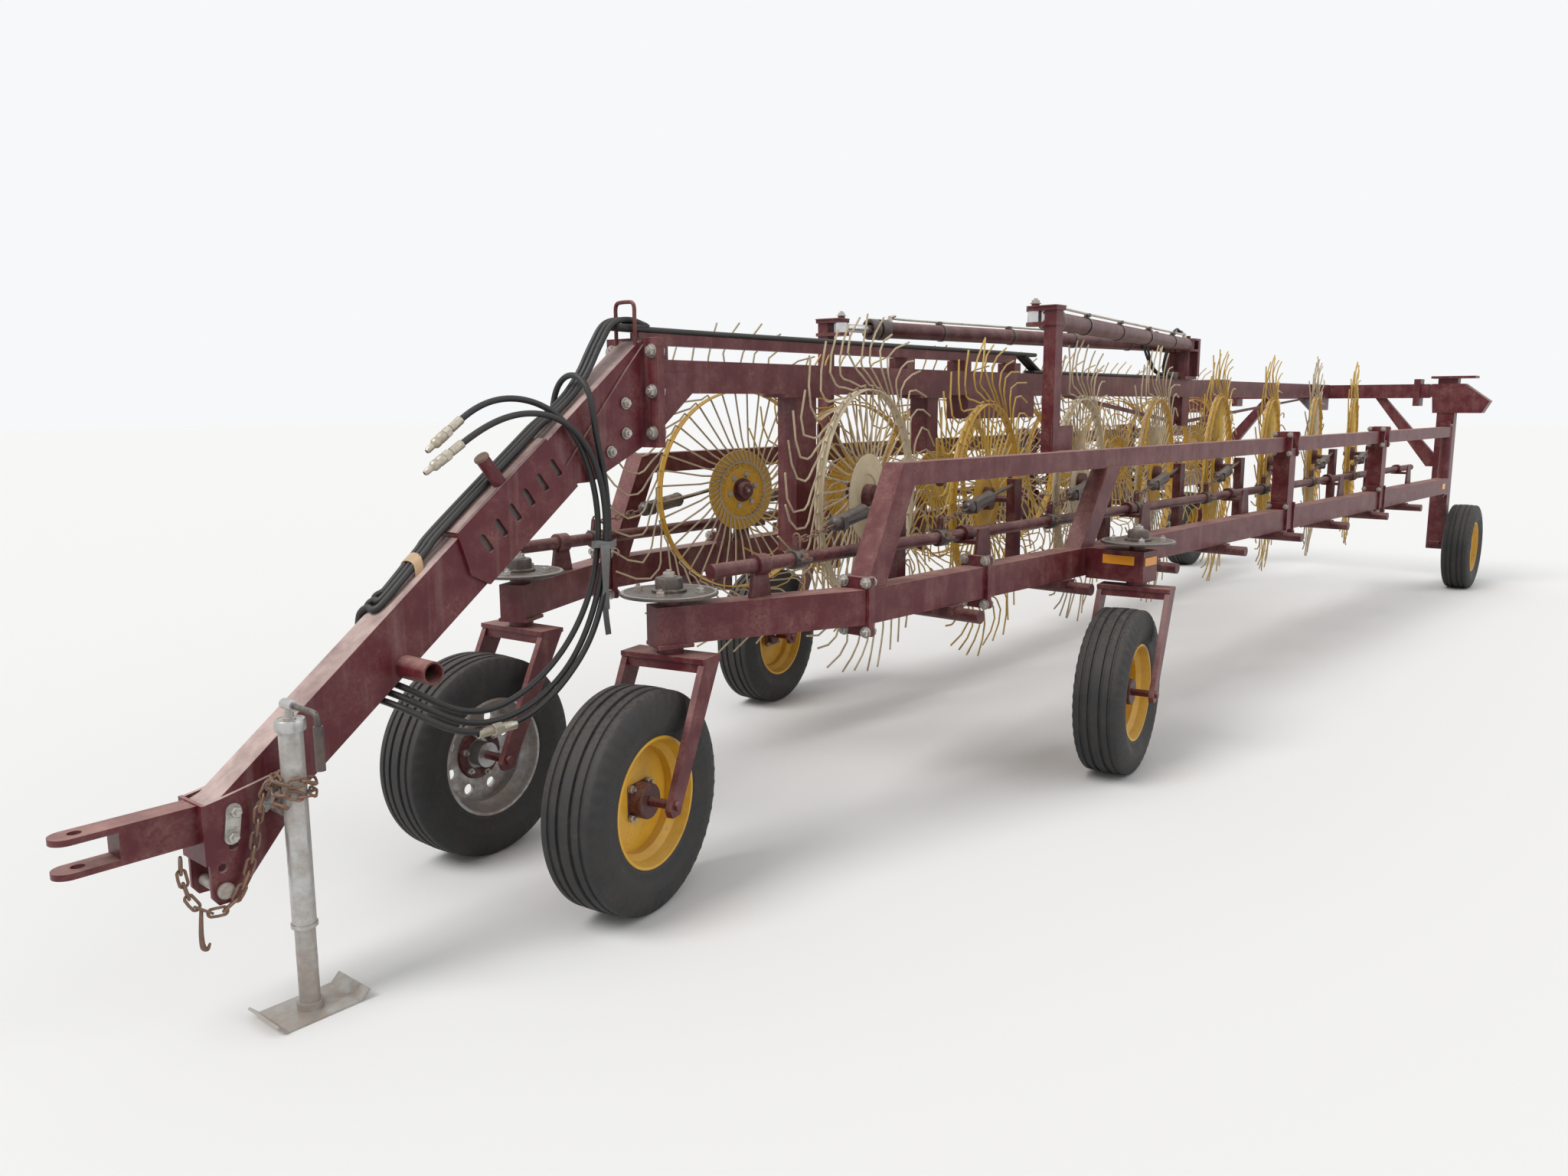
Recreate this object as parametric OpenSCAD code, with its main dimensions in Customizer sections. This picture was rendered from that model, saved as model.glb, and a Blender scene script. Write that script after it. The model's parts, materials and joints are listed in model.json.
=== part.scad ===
// Wheel hay rake with two wings, folded along a high centre beam and standing on its jack.
// X runs forward, Y to the machine's left, Z up from the ground. Lengths are millimetres.

/* [Wheels] */
// Outside diameter of the six road tyres
tyre_d = 720; // [660:1:760]
// Width of a road tyre
tyre_w = 215; // [185:1:235]
// Diameter of the rim where the tyre bead sits
rim_d = 410; // [380:1:430]

/* [Frame] */
// Distance from the rear axle to the tip of the hitch
hitch_reach = 10490; // [10300:5:10700]
// Half the distance between the two rear wheels
track_half = 1208; // [1190:1:1300]
// Height of the underside of the centre beam
beam_z = 1635; // [1600:1:1700]
// Height of the centre beam's tube
beam_h = 115; // [90:1:130]
// Width of the centre beam's tube
beam_w = 100; // [80:1:110]

/* [Wings] */
// Angle between the folded left wing and the centre line
toe = 3.2; // [2.6:0.1:3.6]
// Angle of the right wing, which isn't folded all the way
toe_right = 2.3; // [2:0.1:3.2]
// Height of the underside of a wing's main tube
wing_z = 825; // [815:1:840]
// Height of a wing's main tube
wing_h = 125; // [110:1:135]
// Width of a wing's main tube
wing_w = 100; // [80:1:110]
// Height of the underside of the upper rail
rail_z = 1300; // [1280:1:1320]
// Height of the upper rail
rail_h = 85; // [60:1:95]
// Width of the upper rail
rail_w = 70; // [50:1:90]

/* [Rake wheels] */
// Outside diameter over the tines
rake_d = 1460; // [1400:1:1480]
// Diameter of the ring band that holds the tines
ring_d = 852; // [800:1:900]
// Tines on each rake wheel
tines = 40; // [24:1:40]
// Thickness of a tine
tine_t = 8; // [6:0.5:9]
// Distance between neighbouring rake wheels
rake_pitch = 871; // [860:1:880]
// Height of the raised rake wheels' hubs
rake_hub_z = 1225; // [1210:1:1235]

/* [Casters] */
// Distance from a caster's pivot to its axle
trail = 226; // [200:1:240]
// Width over a caster fork
fork_w = 320; // [310:1:350]

/* [Hidden] */
$fn = 48;

tyre_r = tyre_d / 2;
axle_r = 15;
disc_z = 984;
// The origin lies midway between the hitch tip and the back of the rear tyres.
rear_axle_x = -(hitch_reach - tyre_r) / 2;
sides = [["left", 1], ["right", -1]];

red = "firebrick";
dark_red = "darkred";
yellow = "goldenrod";
steel = "silver";
black = "dimgray";

function toe_of(s) = s > 0 ? toe : toe_right;
// A point given from a wing's hinge, in the machine's frame with the wing folded to an angle t
function from_hinge(p, t) = hinge + [p[0] * cos(t) + p[1] * sin(t), p[1] * cos(t) - p[0] * sin(t)];

beam_top = beam_z + beam_h;
wing_top = wing_z + wing_h;
rail_top = rail_z + rail_h;

// Vertical hinge of a wing, ahead of the rear leg
hinge = [160, 1045];
hinge_pin_r = 20;
// Stations along a wing, from its hinge
splice_x = [1950, 3825];
extension_x = 7190;
bend_x = 7950;
wing_end = 7960;
caster_pivot_r = 28;
// Radial and end clearance of pins, pivots and axles
fit = 0.3;

// Casters: name, pivot from the wing's hinge, and the angle it is parked at on the left and on the right
casters = [["front", [8617, -249], 12, 4.5], ["middle", [6295, 257], 8, 8]];

// Rake wheels: the foremost hub from the wing's hinge, the offset inboard and the axle's angle
rake_x1 = 7452;
rake_y = -352;
rake_axle_turn = -76.8;
rake_ids = [1:8];
function rake_x(i) = rake_x1 - (i - 1) * rake_pitch;
// How far each raised wheel hangs below the foremost one
rake_drop = [0, 60, 35, 35, 20, 40, 25, 30];
function hub_z(i) = rake_hub_z - rake_drop[i - 1];

shaft_y = -135;
shaft_z = 1060;
shaft_r = 24;
arm_x = -30;
arm_y = -225;
stub_z = wing_z - 32;

// Wing-opening cylinder, from its base on the centre beam to the mast on the wing
cyl_base = [3600, 62];
cyl_z = 1975;
mast = [6456, -200];
mast_post_y = -110;
function mast_at(s) = from_hinge(mast, toe_of(s));
function cyl_len(s) = norm(mast_at(s) - cyl_base);
function cyl_turn(s) = atan2(mast_at(s)[1] - cyl_base[1], mast_at(s)[0] - cyl_base[0]);
barrel_r = 42;
rod_r = 22;
barrel_end = 2850;
rod_len = 2820;
eye_h = 48;

tongue_w = 104;
flange_x = 8580;

module bar(x0, x1, y0, y1, z0, z1) {
    translate([x0, y0, z0]) cube([x1 - x0, y1 - y0, z1 - z0]);
}

module post(x, y, z0, z1, r) {
    translate([x, y, z0]) cylinder(r = r, h = z1 - z0);
}

// A round bar across the machine
module cross_bar(x, z, y0, y1, r) {
    translate([x, y0, z]) rotate([-90, 0, 0]) cylinder(r = r, h = y1 - y0);
}

// A plate seen from the side: outline in X and Z, between two Y values
module side_plate(points, y0, y1) {
    translate([0, y1, 0]) rotate([90, 0, 0]) linear_extrude(y1 - y0) polygon(points);
}

// A plate seen from behind: outline in Y and Z, between two X values
module cross_plate(points, x0, x1) {
    translate([x0, 0, 0]) rotate([90, 0, 90]) linear_extrude(x1 - x0) polygon(points);
}

module machine() {
    translate([rear_axle_x, 0, 0]) children();
}

module on_side(s) {
    if (s > 0) children();
    else mirror([0, 1, 0]) children();
}

// The wing's own frame: x forward from its hinge, y outboard
module on_wing(s) {
    machine() on_side(s) translate([hinge[0], hinge[1], 0]) rotate([0, 0, -toe_of(s)]) children();
}

// Half section of a tyre, as radius and width, turned about Y
module tyre() {
    w = tyre_w / 2;
    r = tyre_r;
    b = rim_d / 2;
    rotate([90, 0, 0]) rotate_extrude($fn = 72)
        polygon([[b, -w * 0.7], [b + 18, -w * 0.86], [b + 70, -w], [r - 48, -w * 0.98], [r - 16, -w * 0.86],
            [r - 3, -w * 0.72], [r, -w * 0.4], [r, w * 0.4], [r - 3, w * 0.72], [r - 16, w * 0.86],
            [r - 48, w * 0.98], [b + 70, w], [b + 18, w * 0.86], [b, w * 0.7]]);
}

// Rim with its dished disc and hub, on an axle of 30 millimetres
module rim() {
    b = rim_d / 2;
    w = tyre_w * 0.35;
    rotate([90, 0, 0]) rotate_extrude($fn = 72)
        polygon([[b, -w], [b + 6, -w - 7], [b + 6, -w - 12], [b - 4, -w - 12], [b - 10, -w + 4], [b - 16, -w + 24],
            [b - 34, -w + 44], [b - 34, -4], [90, -16], [55, -16], [55, -62], [axle_r + fit, -62], [axle_r + fit, 50], [45, 50],
            [45, -8], [90, -6], [b - 36, 6], [b - 34, w - 44], [b - 16, w - 24], [b - 10, w - 4], [b - 4, w + 12],
            [b + 6, w + 12], [b + 6, w + 7], [b, w], [b - 1, w - 2], [b - 8, w - 22], [b - 26, w - 44],
            [b - 26, -w + 44], [b - 8, -w + 22], [b - 1, -w + 2]]);
}

module road_wheel_place(which, s) {
    if (which == "rear") machine() on_side(s) translate([0, track_half, tyre_r]) children();
    else caster_place(which, s) translate([trail, 0, tyre_r]) children();
}

// Caster fork about its pivot, with the wheel's axle ahead of it
module fork() {
    crown_z = tyre_r + 415;
    in = fork_w / 2 - 22;
    for (m = [-1, 1])
        side_plate([[-48, crown_z], [48, crown_z], [trail + 34, tyre_r - 8], [trail + 22, tyre_r - 34],
            [trail - 22, tyre_r - 34], [trail - 34, tyre_r - 8]], m > 0 ? in : -in - 22, m > 0 ? in + 22 : -in);
    bar(-55, 55, -fork_w / 2, fork_w / 2, crown_z, crown_z + 16);
    bar(38, 46, -in, in, crown_z - 32, crown_z);
    post(0, 0, crown_z, disc_z, caster_pivot_r);
    post(0, 0, crown_z, wing_z - 12 - fit, caster_pivot_r + 16);
    cross_bar(trail, tyre_r, -fork_w / 2 - 12, fork_w / 2 + 12, axle_r);
    // Friction disc and hub above the beam
    post(0, 0, wing_top + fit, disc_z, caster_pivot_r + 8);
    post(0, 0, disc_z, disc_z + 8, 160);
    post(0, 0, disc_z + 8, disc_z + 54, 42);
}

// A caster's own frame about its pivot, turned to the angle it is parked at
module caster_place(which, s) {
    for (c = casters) if (c[0] == which)
        on_wing(s) translate([c[1][0], c[1][1], 0]) rotate([0, 0, (s > 0 ? c[2] : -c[3]) + toe_of(s)]) children();
}

// One tine as a bent bar in the wheel's plane: radius and angle of each bend
tine_bends = [[150, 4], [ring_d / 2, 0], [ring_d / 2 + 102, -23], [ring_d / 2 + 196, -21.5], [rake_d / 2, -12]];
function tine_point(k) = tine_bends[k][0] * [cos(tine_bends[k][1]), sin(tine_bends[k][1])];
function unit(v) = v / norm(v);
function tine_normal(k) =
    let (a = k > 0 ? unit(tine_point(k) - tine_point(k - 1)) : unit(tine_point(1) - tine_point(0)),
        b = k < 4 ? unit(tine_point(k + 1) - tine_point(k)) : a,
        m = unit(a + b))
    [-m[1], m[0]] / (a * m);
module tine() {
    polygon(concat([for (k = [0:4]) tine_point(k) + tine_normal(k) * tine_t / 2],
        [for (k = [4:-1:0]) tine_point(k) - tine_normal(k) * tine_t / 2]));
}

// Rake wheel about Z, its hub bored for a spindle of 30 millimetres
module rake_wheel() {
    difference() {
        union() {
            translate([0, 0, -tine_t / 2]) linear_extrude(tine_t) union() {
                circle(r = 172);
                for (i = [0:tines - 1]) rotate(i * 360 / tines) tine();
            }
            translate([0, 0, -18]) linear_extrude(36) difference() {
                circle(r = ring_d / 2 + 2, $fn = 120);
                circle(r = ring_d / 2 - 3, $fn = 120);
            }
            translate([0, 0, -30]) cylinder(r = 52, h = 78);
        }
        translate([0, 0, -40]) cylinder(r = axle_r + fit, h = 100);
    }
}

module rake_wheel_place(i, s) {
    on_wing(s) translate([rake_x(i), rake_y, hub_z(i)]) rotate([0, 0, rake_axle_turn]) rotate([0, 90, 0]) children();
}

// Pivot stubs under the beam and the raised arms that carry the rake wheels
module rake_arms() {
    for (i = rake_ids) translate([rake_x(i), 0, 0]) {
        cross_bar(arm_x, stub_z, arm_y - 20, 175, 26);
        bar(arm_x - 40, arm_x + 40, -50, 70, stub_z - 4, wing_z);
        arm();
        translate([0, rake_y, hub_z(i)]) rotate([0, 0, rake_axle_turn]) rotate([0, 90, 0])
            translate([0, 0, -128]) cylinder(r = axle_r, h = 182);
    }
}

// Lift shaft above the main tube, with its bearing brackets and one lever for each rake wheel
module lift_shaft() {
    translate([500, shaft_y, shaft_z]) rotate([0, 90, 0]) cylinder(r = shaft_r, h = 8040);
    for (x = [900, 2560, 4300, 5600, 7080]) {
        side_plate([[x - 60, wing_top], [x + 60, wing_top], [x + 36, shaft_z + 30], [x - 36, shaft_z + 30]],
            -50, -38);
        bar(x - 36, x + 36, shaft_y - 30, -38, shaft_z - 36, shaft_z - 20);
        translate([x - 25, shaft_y, shaft_z]) rotate([0, 90, 0]) cylinder(r = 37, h = 50);
    }
    // Foremost bearing, on the bent front section
    translate([8310, shaft_y, 0]) {
        side_plate([[-50, wing_top], [50, wing_top], [30, shaft_z], [-30, shaft_z]], -8, 8);
        translate([-25, 0, shaft_z]) rotate([0, 90, 0]) cylinder(r = 37, h = 50);
    }
    for (i = rake_ids) translate([rake_x(i) + lever_x, shaft_y, shaft_z]) lever();
}

lever_x = 670;

module lever(clear = 0) {
    side_plate([[-30 - clear, -28], [30 + clear, -28], [14 + clear, 78], [-14 - clear, 78]], -8 - clear, 8 + clear);
}

// Raised arm of one rake wheel, from its stub to above the hub
module arm(clear = 0) {
    bar(arm_x - 28 - clear, arm_x + 28 + clear, arm_y - 22 - clear, arm_y + 22 + clear, stub_z - 26, rake_hub_z + 34);
}

// Spring cans and chains from the lift levers to the heads of the arms
module spring_links() {
    a = [lever_x, shaft_y, shaft_z + 60];
    b = [arm_x, arm_y, rake_hub_z + 10];
    d = b - a;
    l = norm(d);
    for (i = rake_ids) translate([rake_x(i), 0, 0]) difference() {
        translate(a) rotate([0, 0, atan2(d[1], d[0])]) rotate([0, 90 - asin(d[2] / l), 0]) {
            cylinder(r = 8, h = l);
            translate([0, 0, l - 480]) cylinder(r = 30, h = 230);
        }
        translate([lever_x, shaft_y, shaft_z]) lever(fit);
        arm(fit);
    }
}

module wing_frame() {
    front = casters[0][1];
    mid = casters[1][1];
    bend = atan2(-front[1], front[0] - wing_end);
    reach = norm(front - [wing_end, 0]);
    w = wing_w / 2;
    rw = rail_w / 2;
    difference() {
        union() {
            // Main tube and its bent front section
            bar(30, wing_end, -w, w, wing_z, wing_top);
            translate([wing_end, 0, 0]) rotate([0, 0, -bend]) {
                bar(-12, reach + 62, -w, w, wing_z, wing_top);
                bar(reach - 62, reach + 62, -w - 8, w + 8, wing_z - 12, wing_z);
            }
            // Extension and bend flanges
            for (x = [extension_x, bend_x])
                bar(x - 14, x + 14, -w - 14, w + 14, wing_z - 42, wing_top + 42);
            // Upper rail with its posts
            bar(30, 7735, -rw, rw, rail_z, rail_top);
            side_plate([[7850, wing_top - 10], [7960, wing_top - 10], [7746, rail_top], [7640, rail_top]], -w + 5, w - 5);
            side_plate([[6300, wing_top - 10], [6420, wing_top - 10], [6180, rail_z + 5], [6050, rail_z + 5]], -w + 8, w - 8);
            for (x = splice_x) {
                bar(x - 50, x + 50, -w + 5, w + 4, wing_z + 5, rail_z + 20);
                for (m = [-1, 1])
                    bar(m > 0 ? x + 50 : x - 64, m > 0 ? x + 64 : x - 50, -w - 10, w + 14, wing_z - 36, wing_top + 40);
                for (m = [-1, 1])
                    bar(m > 0 ? x + 50 : x - 64, m > 0 ? x + 64 : x - 50, -w + 4, w + 14, rail_z - 30, rail_top + 34);
            }
            // Hinge tube at the rear end
            post(0, 0, wing_z, rail_top + 5, 44);
            // Outrigger of the middle caster
            bar(mid[0] - 66, mid[0] + 66, w - 6, mid[1] + 62, wing_z - 12, wing_top);
            // Mast for the opening cylinder, on a bracket beside the rail
            bar(mast[0] - 150, mast[0] + 40, mast_post_y - 20, -rw + 4, rail_z + 10, rail_top);
            bar(mast[0] - 150, mast[0] + 40, mast_post_y + 20, mast_post_y + 32, rail_z + 10, rail_top + 110);
            bar(mast[0] - 30, mast[0] + 30, mast_post_y - 26, mast_post_y + 34, rail_z + 10, cyl_z + eye_h / 2 + fit + 16);
            for (z = [cyl_z - eye_h / 2 - fit - 16, cyl_z + eye_h / 2 + fit]) {
                bar(mast[0] - 40, mast[0] + 40, mast[1], mast_post_y + 40, z, z + 16);
                post(mast[0], mast[1], z, z + 16, 40);
            }
            post(mast[0], mast[1], cyl_z + eye_h / 2 + fit + 16, cyl_z + eye_h / 2 + fit + 34, 18);
        }
        post(0, 0, wing_z - 5, rail_top + 10, hinge_pin_r + fit);
        for (c = casters) post(c[1][0], c[1][1], wing_z - 20, wing_top + 5, caster_pivot_r + fit);
    }
}

module centre_beam() {
    w = beam_w / 2;
    bar(60, flange_x, -w, w, beam_z, beam_top);
    // Front flange with its gussets
    bar(flange_x - 16, flange_x, -125, 125, 1450, 1820);
    for (y = [-w - 10, w]) side_plate([[flange_x - 10, 1470], [flange_x - 10, beam_z + 70], [flange_x - 220, beam_z + 70],
        [flange_x - 220, beam_z]], y, y + 10);
    // Top chord that carries the hoses, with its struts
    bar(5900, flange_x, -22, 22, 1800, 1840);
    for (x = [5900, 6400, 6900]) bar(x, x + 60, -w, w, beam_top, 1800);
    bar(flange_x - 140, flange_x - 10, -20, 20, beam_top, 1800);
    // Hanging posts with their head plates
    for (p = [[7690, 1000, 65], [6740, 1375, 45]]) {
        bar(p[0] - p[2], p[0] + p[2], -48, 48, p[1], beam_z);
        bar(p[0] - p[2] - 80, p[0] + p[2] + 80, -60, 60, beam_z - 14, beam_z);
    }
    // Box under the beam
    bar(5760, 6440, -60, 60, 1522, beam_z);
    // Short king post with its truss rods
    bar(3480, 3600, -45, 45, 1440, beam_z);
    side_plate([[5400, beam_z + 6], [5180, beam_z + 6], [3590, 1475], [3590, 1453]], -10, 10);
    side_plate([[240, beam_z + 6], [460, beam_z + 6], [3490, 1475], [3490, 1453]], -10, 10);
    // Carrier of the two cylinder bases
    bar(3500, 3700, -95, 95, beam_top, beam_top + 20);
    for (z = [cyl_z - 28 - fit - 14, cyl_z + 28 + fit]) {
        bar(3540, 3600, -112, 112, z, z + 14);
        for (m = [-1, 1]) post(cyl_base[0], m * cyl_base[1], z, z + 14, 48);
    }
    bar(3500, 3540, -112, 112, beam_top + 20, cyl_z + 28 + fit + 14);
    for (m = [-1, 1]) post(cyl_base[0], m * cyl_base[1], beam_top + 20, cyl_z + 60, 16);
    // Deep gusset plates at the cross tube
    for (y = [-w - 10, w]) side_plate([[60, beam_top], [60, beam_z - 110], [240, beam_z - 110], [620, beam_z], [620, beam_top]],
        y, y + 10);
}

module rear_frame() {
    difference() {
        union() {
            // Cross tube with its sliding ends
            bar(-60, 60, -860, 860, 1628, 1747);
            for (m = [1, -1]) on_side(m) {
                bar(-52, 52, 850, 1010, 1636, 1739);
                bar(-78, 78, 748, 798, 1560, 1790);
                cross_plate([[885, 1747], [1130, 1747], [1326, 1600], [1275, 1500], [905, 1500]], -74, 74);
                bar(-95, 95, 880, 1212, 1792, 1812);
                bar(-60, 60, 930, 1080, 1747, 1792);
                // Leg, brace and axle
                bar(-65, 65, 940, 1072, 330, 1500);
                cross_plate([[440, 1630], [520, 1630], [950, 1130], [950, 1040], [880, 1040]], -30, 30);
                cross_bar(0, tyre_r, 1060, track_half + 70, 15);
                cross_bar(0, tyre_r, 1060, 1140, 30);
                bar(-20, 110, 960, 1050, 372, 396);
                // Hinge ears
                for (z = [wing_z - fit - 18, rail_top + 5 + fit])
                    bar(50, hinge[0] + 52, hinge[1] - 62, hinge[1] + 30, z, z + 18);
                post(hinge[0], hinge[1], wing_z - 40, rail_top + 45, hinge_pin_r);
            }
        }
    }
}

module tongue() {
    w = tongue_w / 2;
    // Sloping tube with its flared head
    side_plate([[10135, 500], [10150, 590], [10118, 602], [flange_x + 40, 1800], [flange_x + 14, 1812], [flange_x + 14, 1462],
        [flange_x + 190, 1440], [9985, 500]], -w, w);
    for (y = [-w - 12, w]) side_plate([[flange_x + 14, 1800], [flange_x + 14, 1460], [flange_x + 260, 1345],
        [flange_x + 420, 1340], [flange_x + 90, 1720]], y, y + 12);
    bar(flange_x, flange_x + 16, -125, 125, 1450, 1820);
    // Hose loop
    translate([flange_x + 60, 0, 1815]) rotate([90, 0, 0]) difference() {
        union() {
            translate([0, 20, 0]) cylinder(r = 52, h = 14, center = true);
            translate([-52, -50, -7]) cube([104, 70, 14]);
        }
        translate([0, 20, 0]) cylinder(r = 40, h = 30, center = true);
        translate([-40, -80, -15]) cube([80, 100, 30]);
    }
    // Saddle with a row of oval windows and its stout post
    difference() {
        side_plate([[9372, 1222], [9030, 1492], [8905, 1335], [9262, 1055], [9330, 1090]], -w - 12, w + 12);
        translate([9270, 0, 1180]) for (k = [0:5])
            translate([-k * 55, 0, k * 43 + 2]) rotate([90, 38, 0]) linear_extrude(200, center = true) union() {
                square([18, 34], center = true);
                for (m = [-17, 17]) translate([0, m]) circle(r = 9, $fn = 24);
            }
    }
    translate([9150, 0, 1300]) rotate([0, 38, 0]) cylinder(r = 30, h = 180);
    // Socket that stores the jack
    cross_bar(9560, 850, w - 2, 190, 34);
    // Cheeks for the hitch
    for (y = [-w - 12, w]) side_plate([[10120, 606], [10156, 600], [10156, 350], [10140, 328], [10085, 326], [10050, 380],
        [9930, 520], [9960, 640]], y, y + 12);
    cross_bar(10124, 364, -w - 20, w + 20, 16);
}

module hitch_clevis() {
    tip = hitch_reach - 38;
    for (z = [496, 580]) difference() {
        union() {
            bar(10166, tip, -38, 38, z, z + 16);
            post(tip, 0, z, z + 16, 38);
        }
        post(tip - 20, 0, z - 1, z + 17, 16);
    }
    bar(10166, 10350, -38, 38, 512, 580);
    bar(10156, 10166, -66, 66, 440, 600);
}

jack = [9965, 152];
jack_r = 27;
jack_top = 700;
jack_travel = 200;

module jack_tube() {
    difference() {
        post(jack[0], jack[1], 235, jack_top + 70, jack_r + 4);
        post(jack[0], jack[1], 230, jack_top, jack_r);
    }
    cross_bar(jack[0], 565, tongue_w / 2 + 12, jack[1] - 28, 34);
    post(jack[0], jack[1], jack_top + 70, jack_top + 100, jack_r + 7);
}

module jack_leg() {
    post(jack[0], jack[1], 10, jack_top - jack_travel - 15, jack_r - fit);
    bar(jack[0] - 105, jack[0] + 105, jack[1] - 78, jack[1] + 78, 0, 6);
    for (m = [-1, 1]) on_end(m) side_plate([[76, 2], [105, 0], [132, 26], [126, 30], [102, 6], [76, 6]],
        jack[1] - 78, jack[1] + 78);
    post(jack[0], jack[1], 4, 26, 34);
}

module on_end(m) {
    translate([jack[0], 0, 0]) mirror([m > 0 ? 0 : 1, 0, 0]) children();
}

module jack_crank() {
    post(jack[0], jack[1], jack_top + 100, jack_top + 150, 12);
    cross_bar(jack[0], 838, jack[1] - 8, jack[1] + 150, 8);
    post(jack[0], jack[1] + 142, 690, 842, 8);
}

module cylinder_place(s) {
    machine() on_side(s) translate([cyl_base[0], cyl_base[1], cyl_z]) rotate([0, 0, cyl_turn(s)]) children();
}

module cylinder_barrel() {
    rotate([0, 90, 0]) difference() {
        union() {
            translate([0, 0, 64]) cylinder(r = barrel_r, h = barrel_end - 64);
            translate([0, 0, barrel_end - 40]) cylinder(r = barrel_r + 8, h = 40);
        }
        translate([0, 0, 120]) cylinder(r = rod_r + 12, h = barrel_end - 60);
        translate([0, 0, barrel_end - 80]) cylinder(r = rod_r + fit, h = 100);
    }
    difference() {
        union() {
            post(0, 0, -28, 28, 42);
            bar(10, 70, -30, 30, -28, 28);
        }
        post(0, 0, -30, 30, 16 + fit);
    }
}

// Rod about its eye, which lies between the plates of the mast
module cylinder_rod() {
    translate([-rod_len, 0, 0]) rotate([0, 90, 0]) cylinder(r = rod_r, h = rod_len - 20);
    post(0, 0, -eye_h / 2, eye_h / 2, 34);
}

color(red) machine() tongue();
color(red) machine() hitch_clevis();
color(steel) machine() jack_tube();
color(black) machine() jack_crank();
color(steel) machine() jack_leg();
color(red) machine() centre_beam();
color(dark_red) machine() rear_frame();
for (s = sides) {
    color(red) on_wing(s[1]) wing_frame();
    color(dark_red) on_wing(s[1]) lift_shaft();
    color(black) on_wing(s[1]) spring_links();
    color(dark_red) on_wing(s[1]) rake_arms();
    for (f = ["front", "middle"])
        color(red) caster_place(f, s[1]) fork();
    color(red) cylinder_place(s[1]) cylinder_barrel();
    color(steel)
        cylinder_place(s[1]) translate([cyl_len(s[1]), 0, 0]) cylinder_rod();
    for (w = ["front", "middle", "rear"]) {
        color("black") road_wheel_place(w, s[1]) tyre();
        color(yellow) road_wheel_place(w, s[1]) rim();
    }
    for (i = rake_ids)
        color(yellow) rake_wheel_place(i, s[1]) rake_wheel();
}
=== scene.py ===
import json, math
import bpy
import numpy as np
import bmesh
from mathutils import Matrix, Quaternion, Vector
from mathutils.geometry import tessellate_polygon


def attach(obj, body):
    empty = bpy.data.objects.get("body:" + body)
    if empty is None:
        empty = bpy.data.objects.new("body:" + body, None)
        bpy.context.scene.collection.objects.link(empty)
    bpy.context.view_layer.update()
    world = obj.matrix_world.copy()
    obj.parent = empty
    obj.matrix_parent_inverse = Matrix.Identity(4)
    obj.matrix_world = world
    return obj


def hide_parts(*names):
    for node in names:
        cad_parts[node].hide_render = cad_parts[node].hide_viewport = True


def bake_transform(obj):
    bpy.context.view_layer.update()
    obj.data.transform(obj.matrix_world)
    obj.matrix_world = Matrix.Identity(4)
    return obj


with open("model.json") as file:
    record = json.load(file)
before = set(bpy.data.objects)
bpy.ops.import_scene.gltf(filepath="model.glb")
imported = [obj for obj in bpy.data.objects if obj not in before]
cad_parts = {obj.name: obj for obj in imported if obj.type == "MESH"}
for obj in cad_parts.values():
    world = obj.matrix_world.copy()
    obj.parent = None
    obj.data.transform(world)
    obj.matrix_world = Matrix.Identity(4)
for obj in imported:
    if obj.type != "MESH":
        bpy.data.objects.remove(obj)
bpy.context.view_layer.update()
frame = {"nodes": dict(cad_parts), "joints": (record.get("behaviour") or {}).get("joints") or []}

rng = np.random.default_rng(7)
joints = {j["name"]: j for j in frame["joints"]}
sideSign = {"left": 1.0, "right": -1.0}
print("frame loaded,", len(frame["nodes"]), "nodes")

# camera, floor and light
cameraSet = {"place": (6.302, 2.957, 1.595), "heading": (-0.772, -0.636), "pitch": 9.09, "roll": 0.21, "lens": 26.37,
             "sensor": 36.0, "clip": (0.05, 400)}


def newObject(name, data):
    o = bpy.data.objects.new(name, data)
    bpy.context.scene.collection.objects.link(o)
    return o


def makeCamera(s):
    data = bpy.data.cameras.new("camera")
    cam = newObject("camera", data)
    data.lens, data.sensor_width = s["lens"], s["sensor"]
    data.clip_start, data.clip_end = s["clip"]
    flat = Vector((*s["heading"], 0)).normalized()
    p = math.radians(s["pitch"])
    look = flat * math.cos(p) + Vector((0, 0, -math.sin(p)))
    cam.rotation_mode = "QUATERNION"
    cam.rotation_quaternion = Quaternion(look, math.radians(s["roll"])) @ look.to_track_quat("-Z", "Y")
    cam.location = s["place"]
    bpy.context.scene.camera = cam


makeCamera(cameraSet)
bpy.context.scene.view_settings.view_transform = "Standard"

# each lamp has its power, its turn and its softness in degrees
stageSet = {"floor": (0.80, 0.79, 0.77), "floorRough": 0.9, "floorHalf": 90.0, "backdrop": (0.93, 0.94, 0.95),
            "sky": (0.95, 0.97, 1.0), "ambient": 0.62,
            "lamps": {"key": (1.9, (38, 12, 60), 28), "fill": (0.55, (60, 0, 200), 60)}}


def newMaterial(name):
    m = bpy.data.materials.new(name)
    m.use_nodes = True
    t = m.node_tree
    t.nodes.clear()
    out = t.nodes.new("ShaderNodeOutputMaterial")
    return m, t, out


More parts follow.
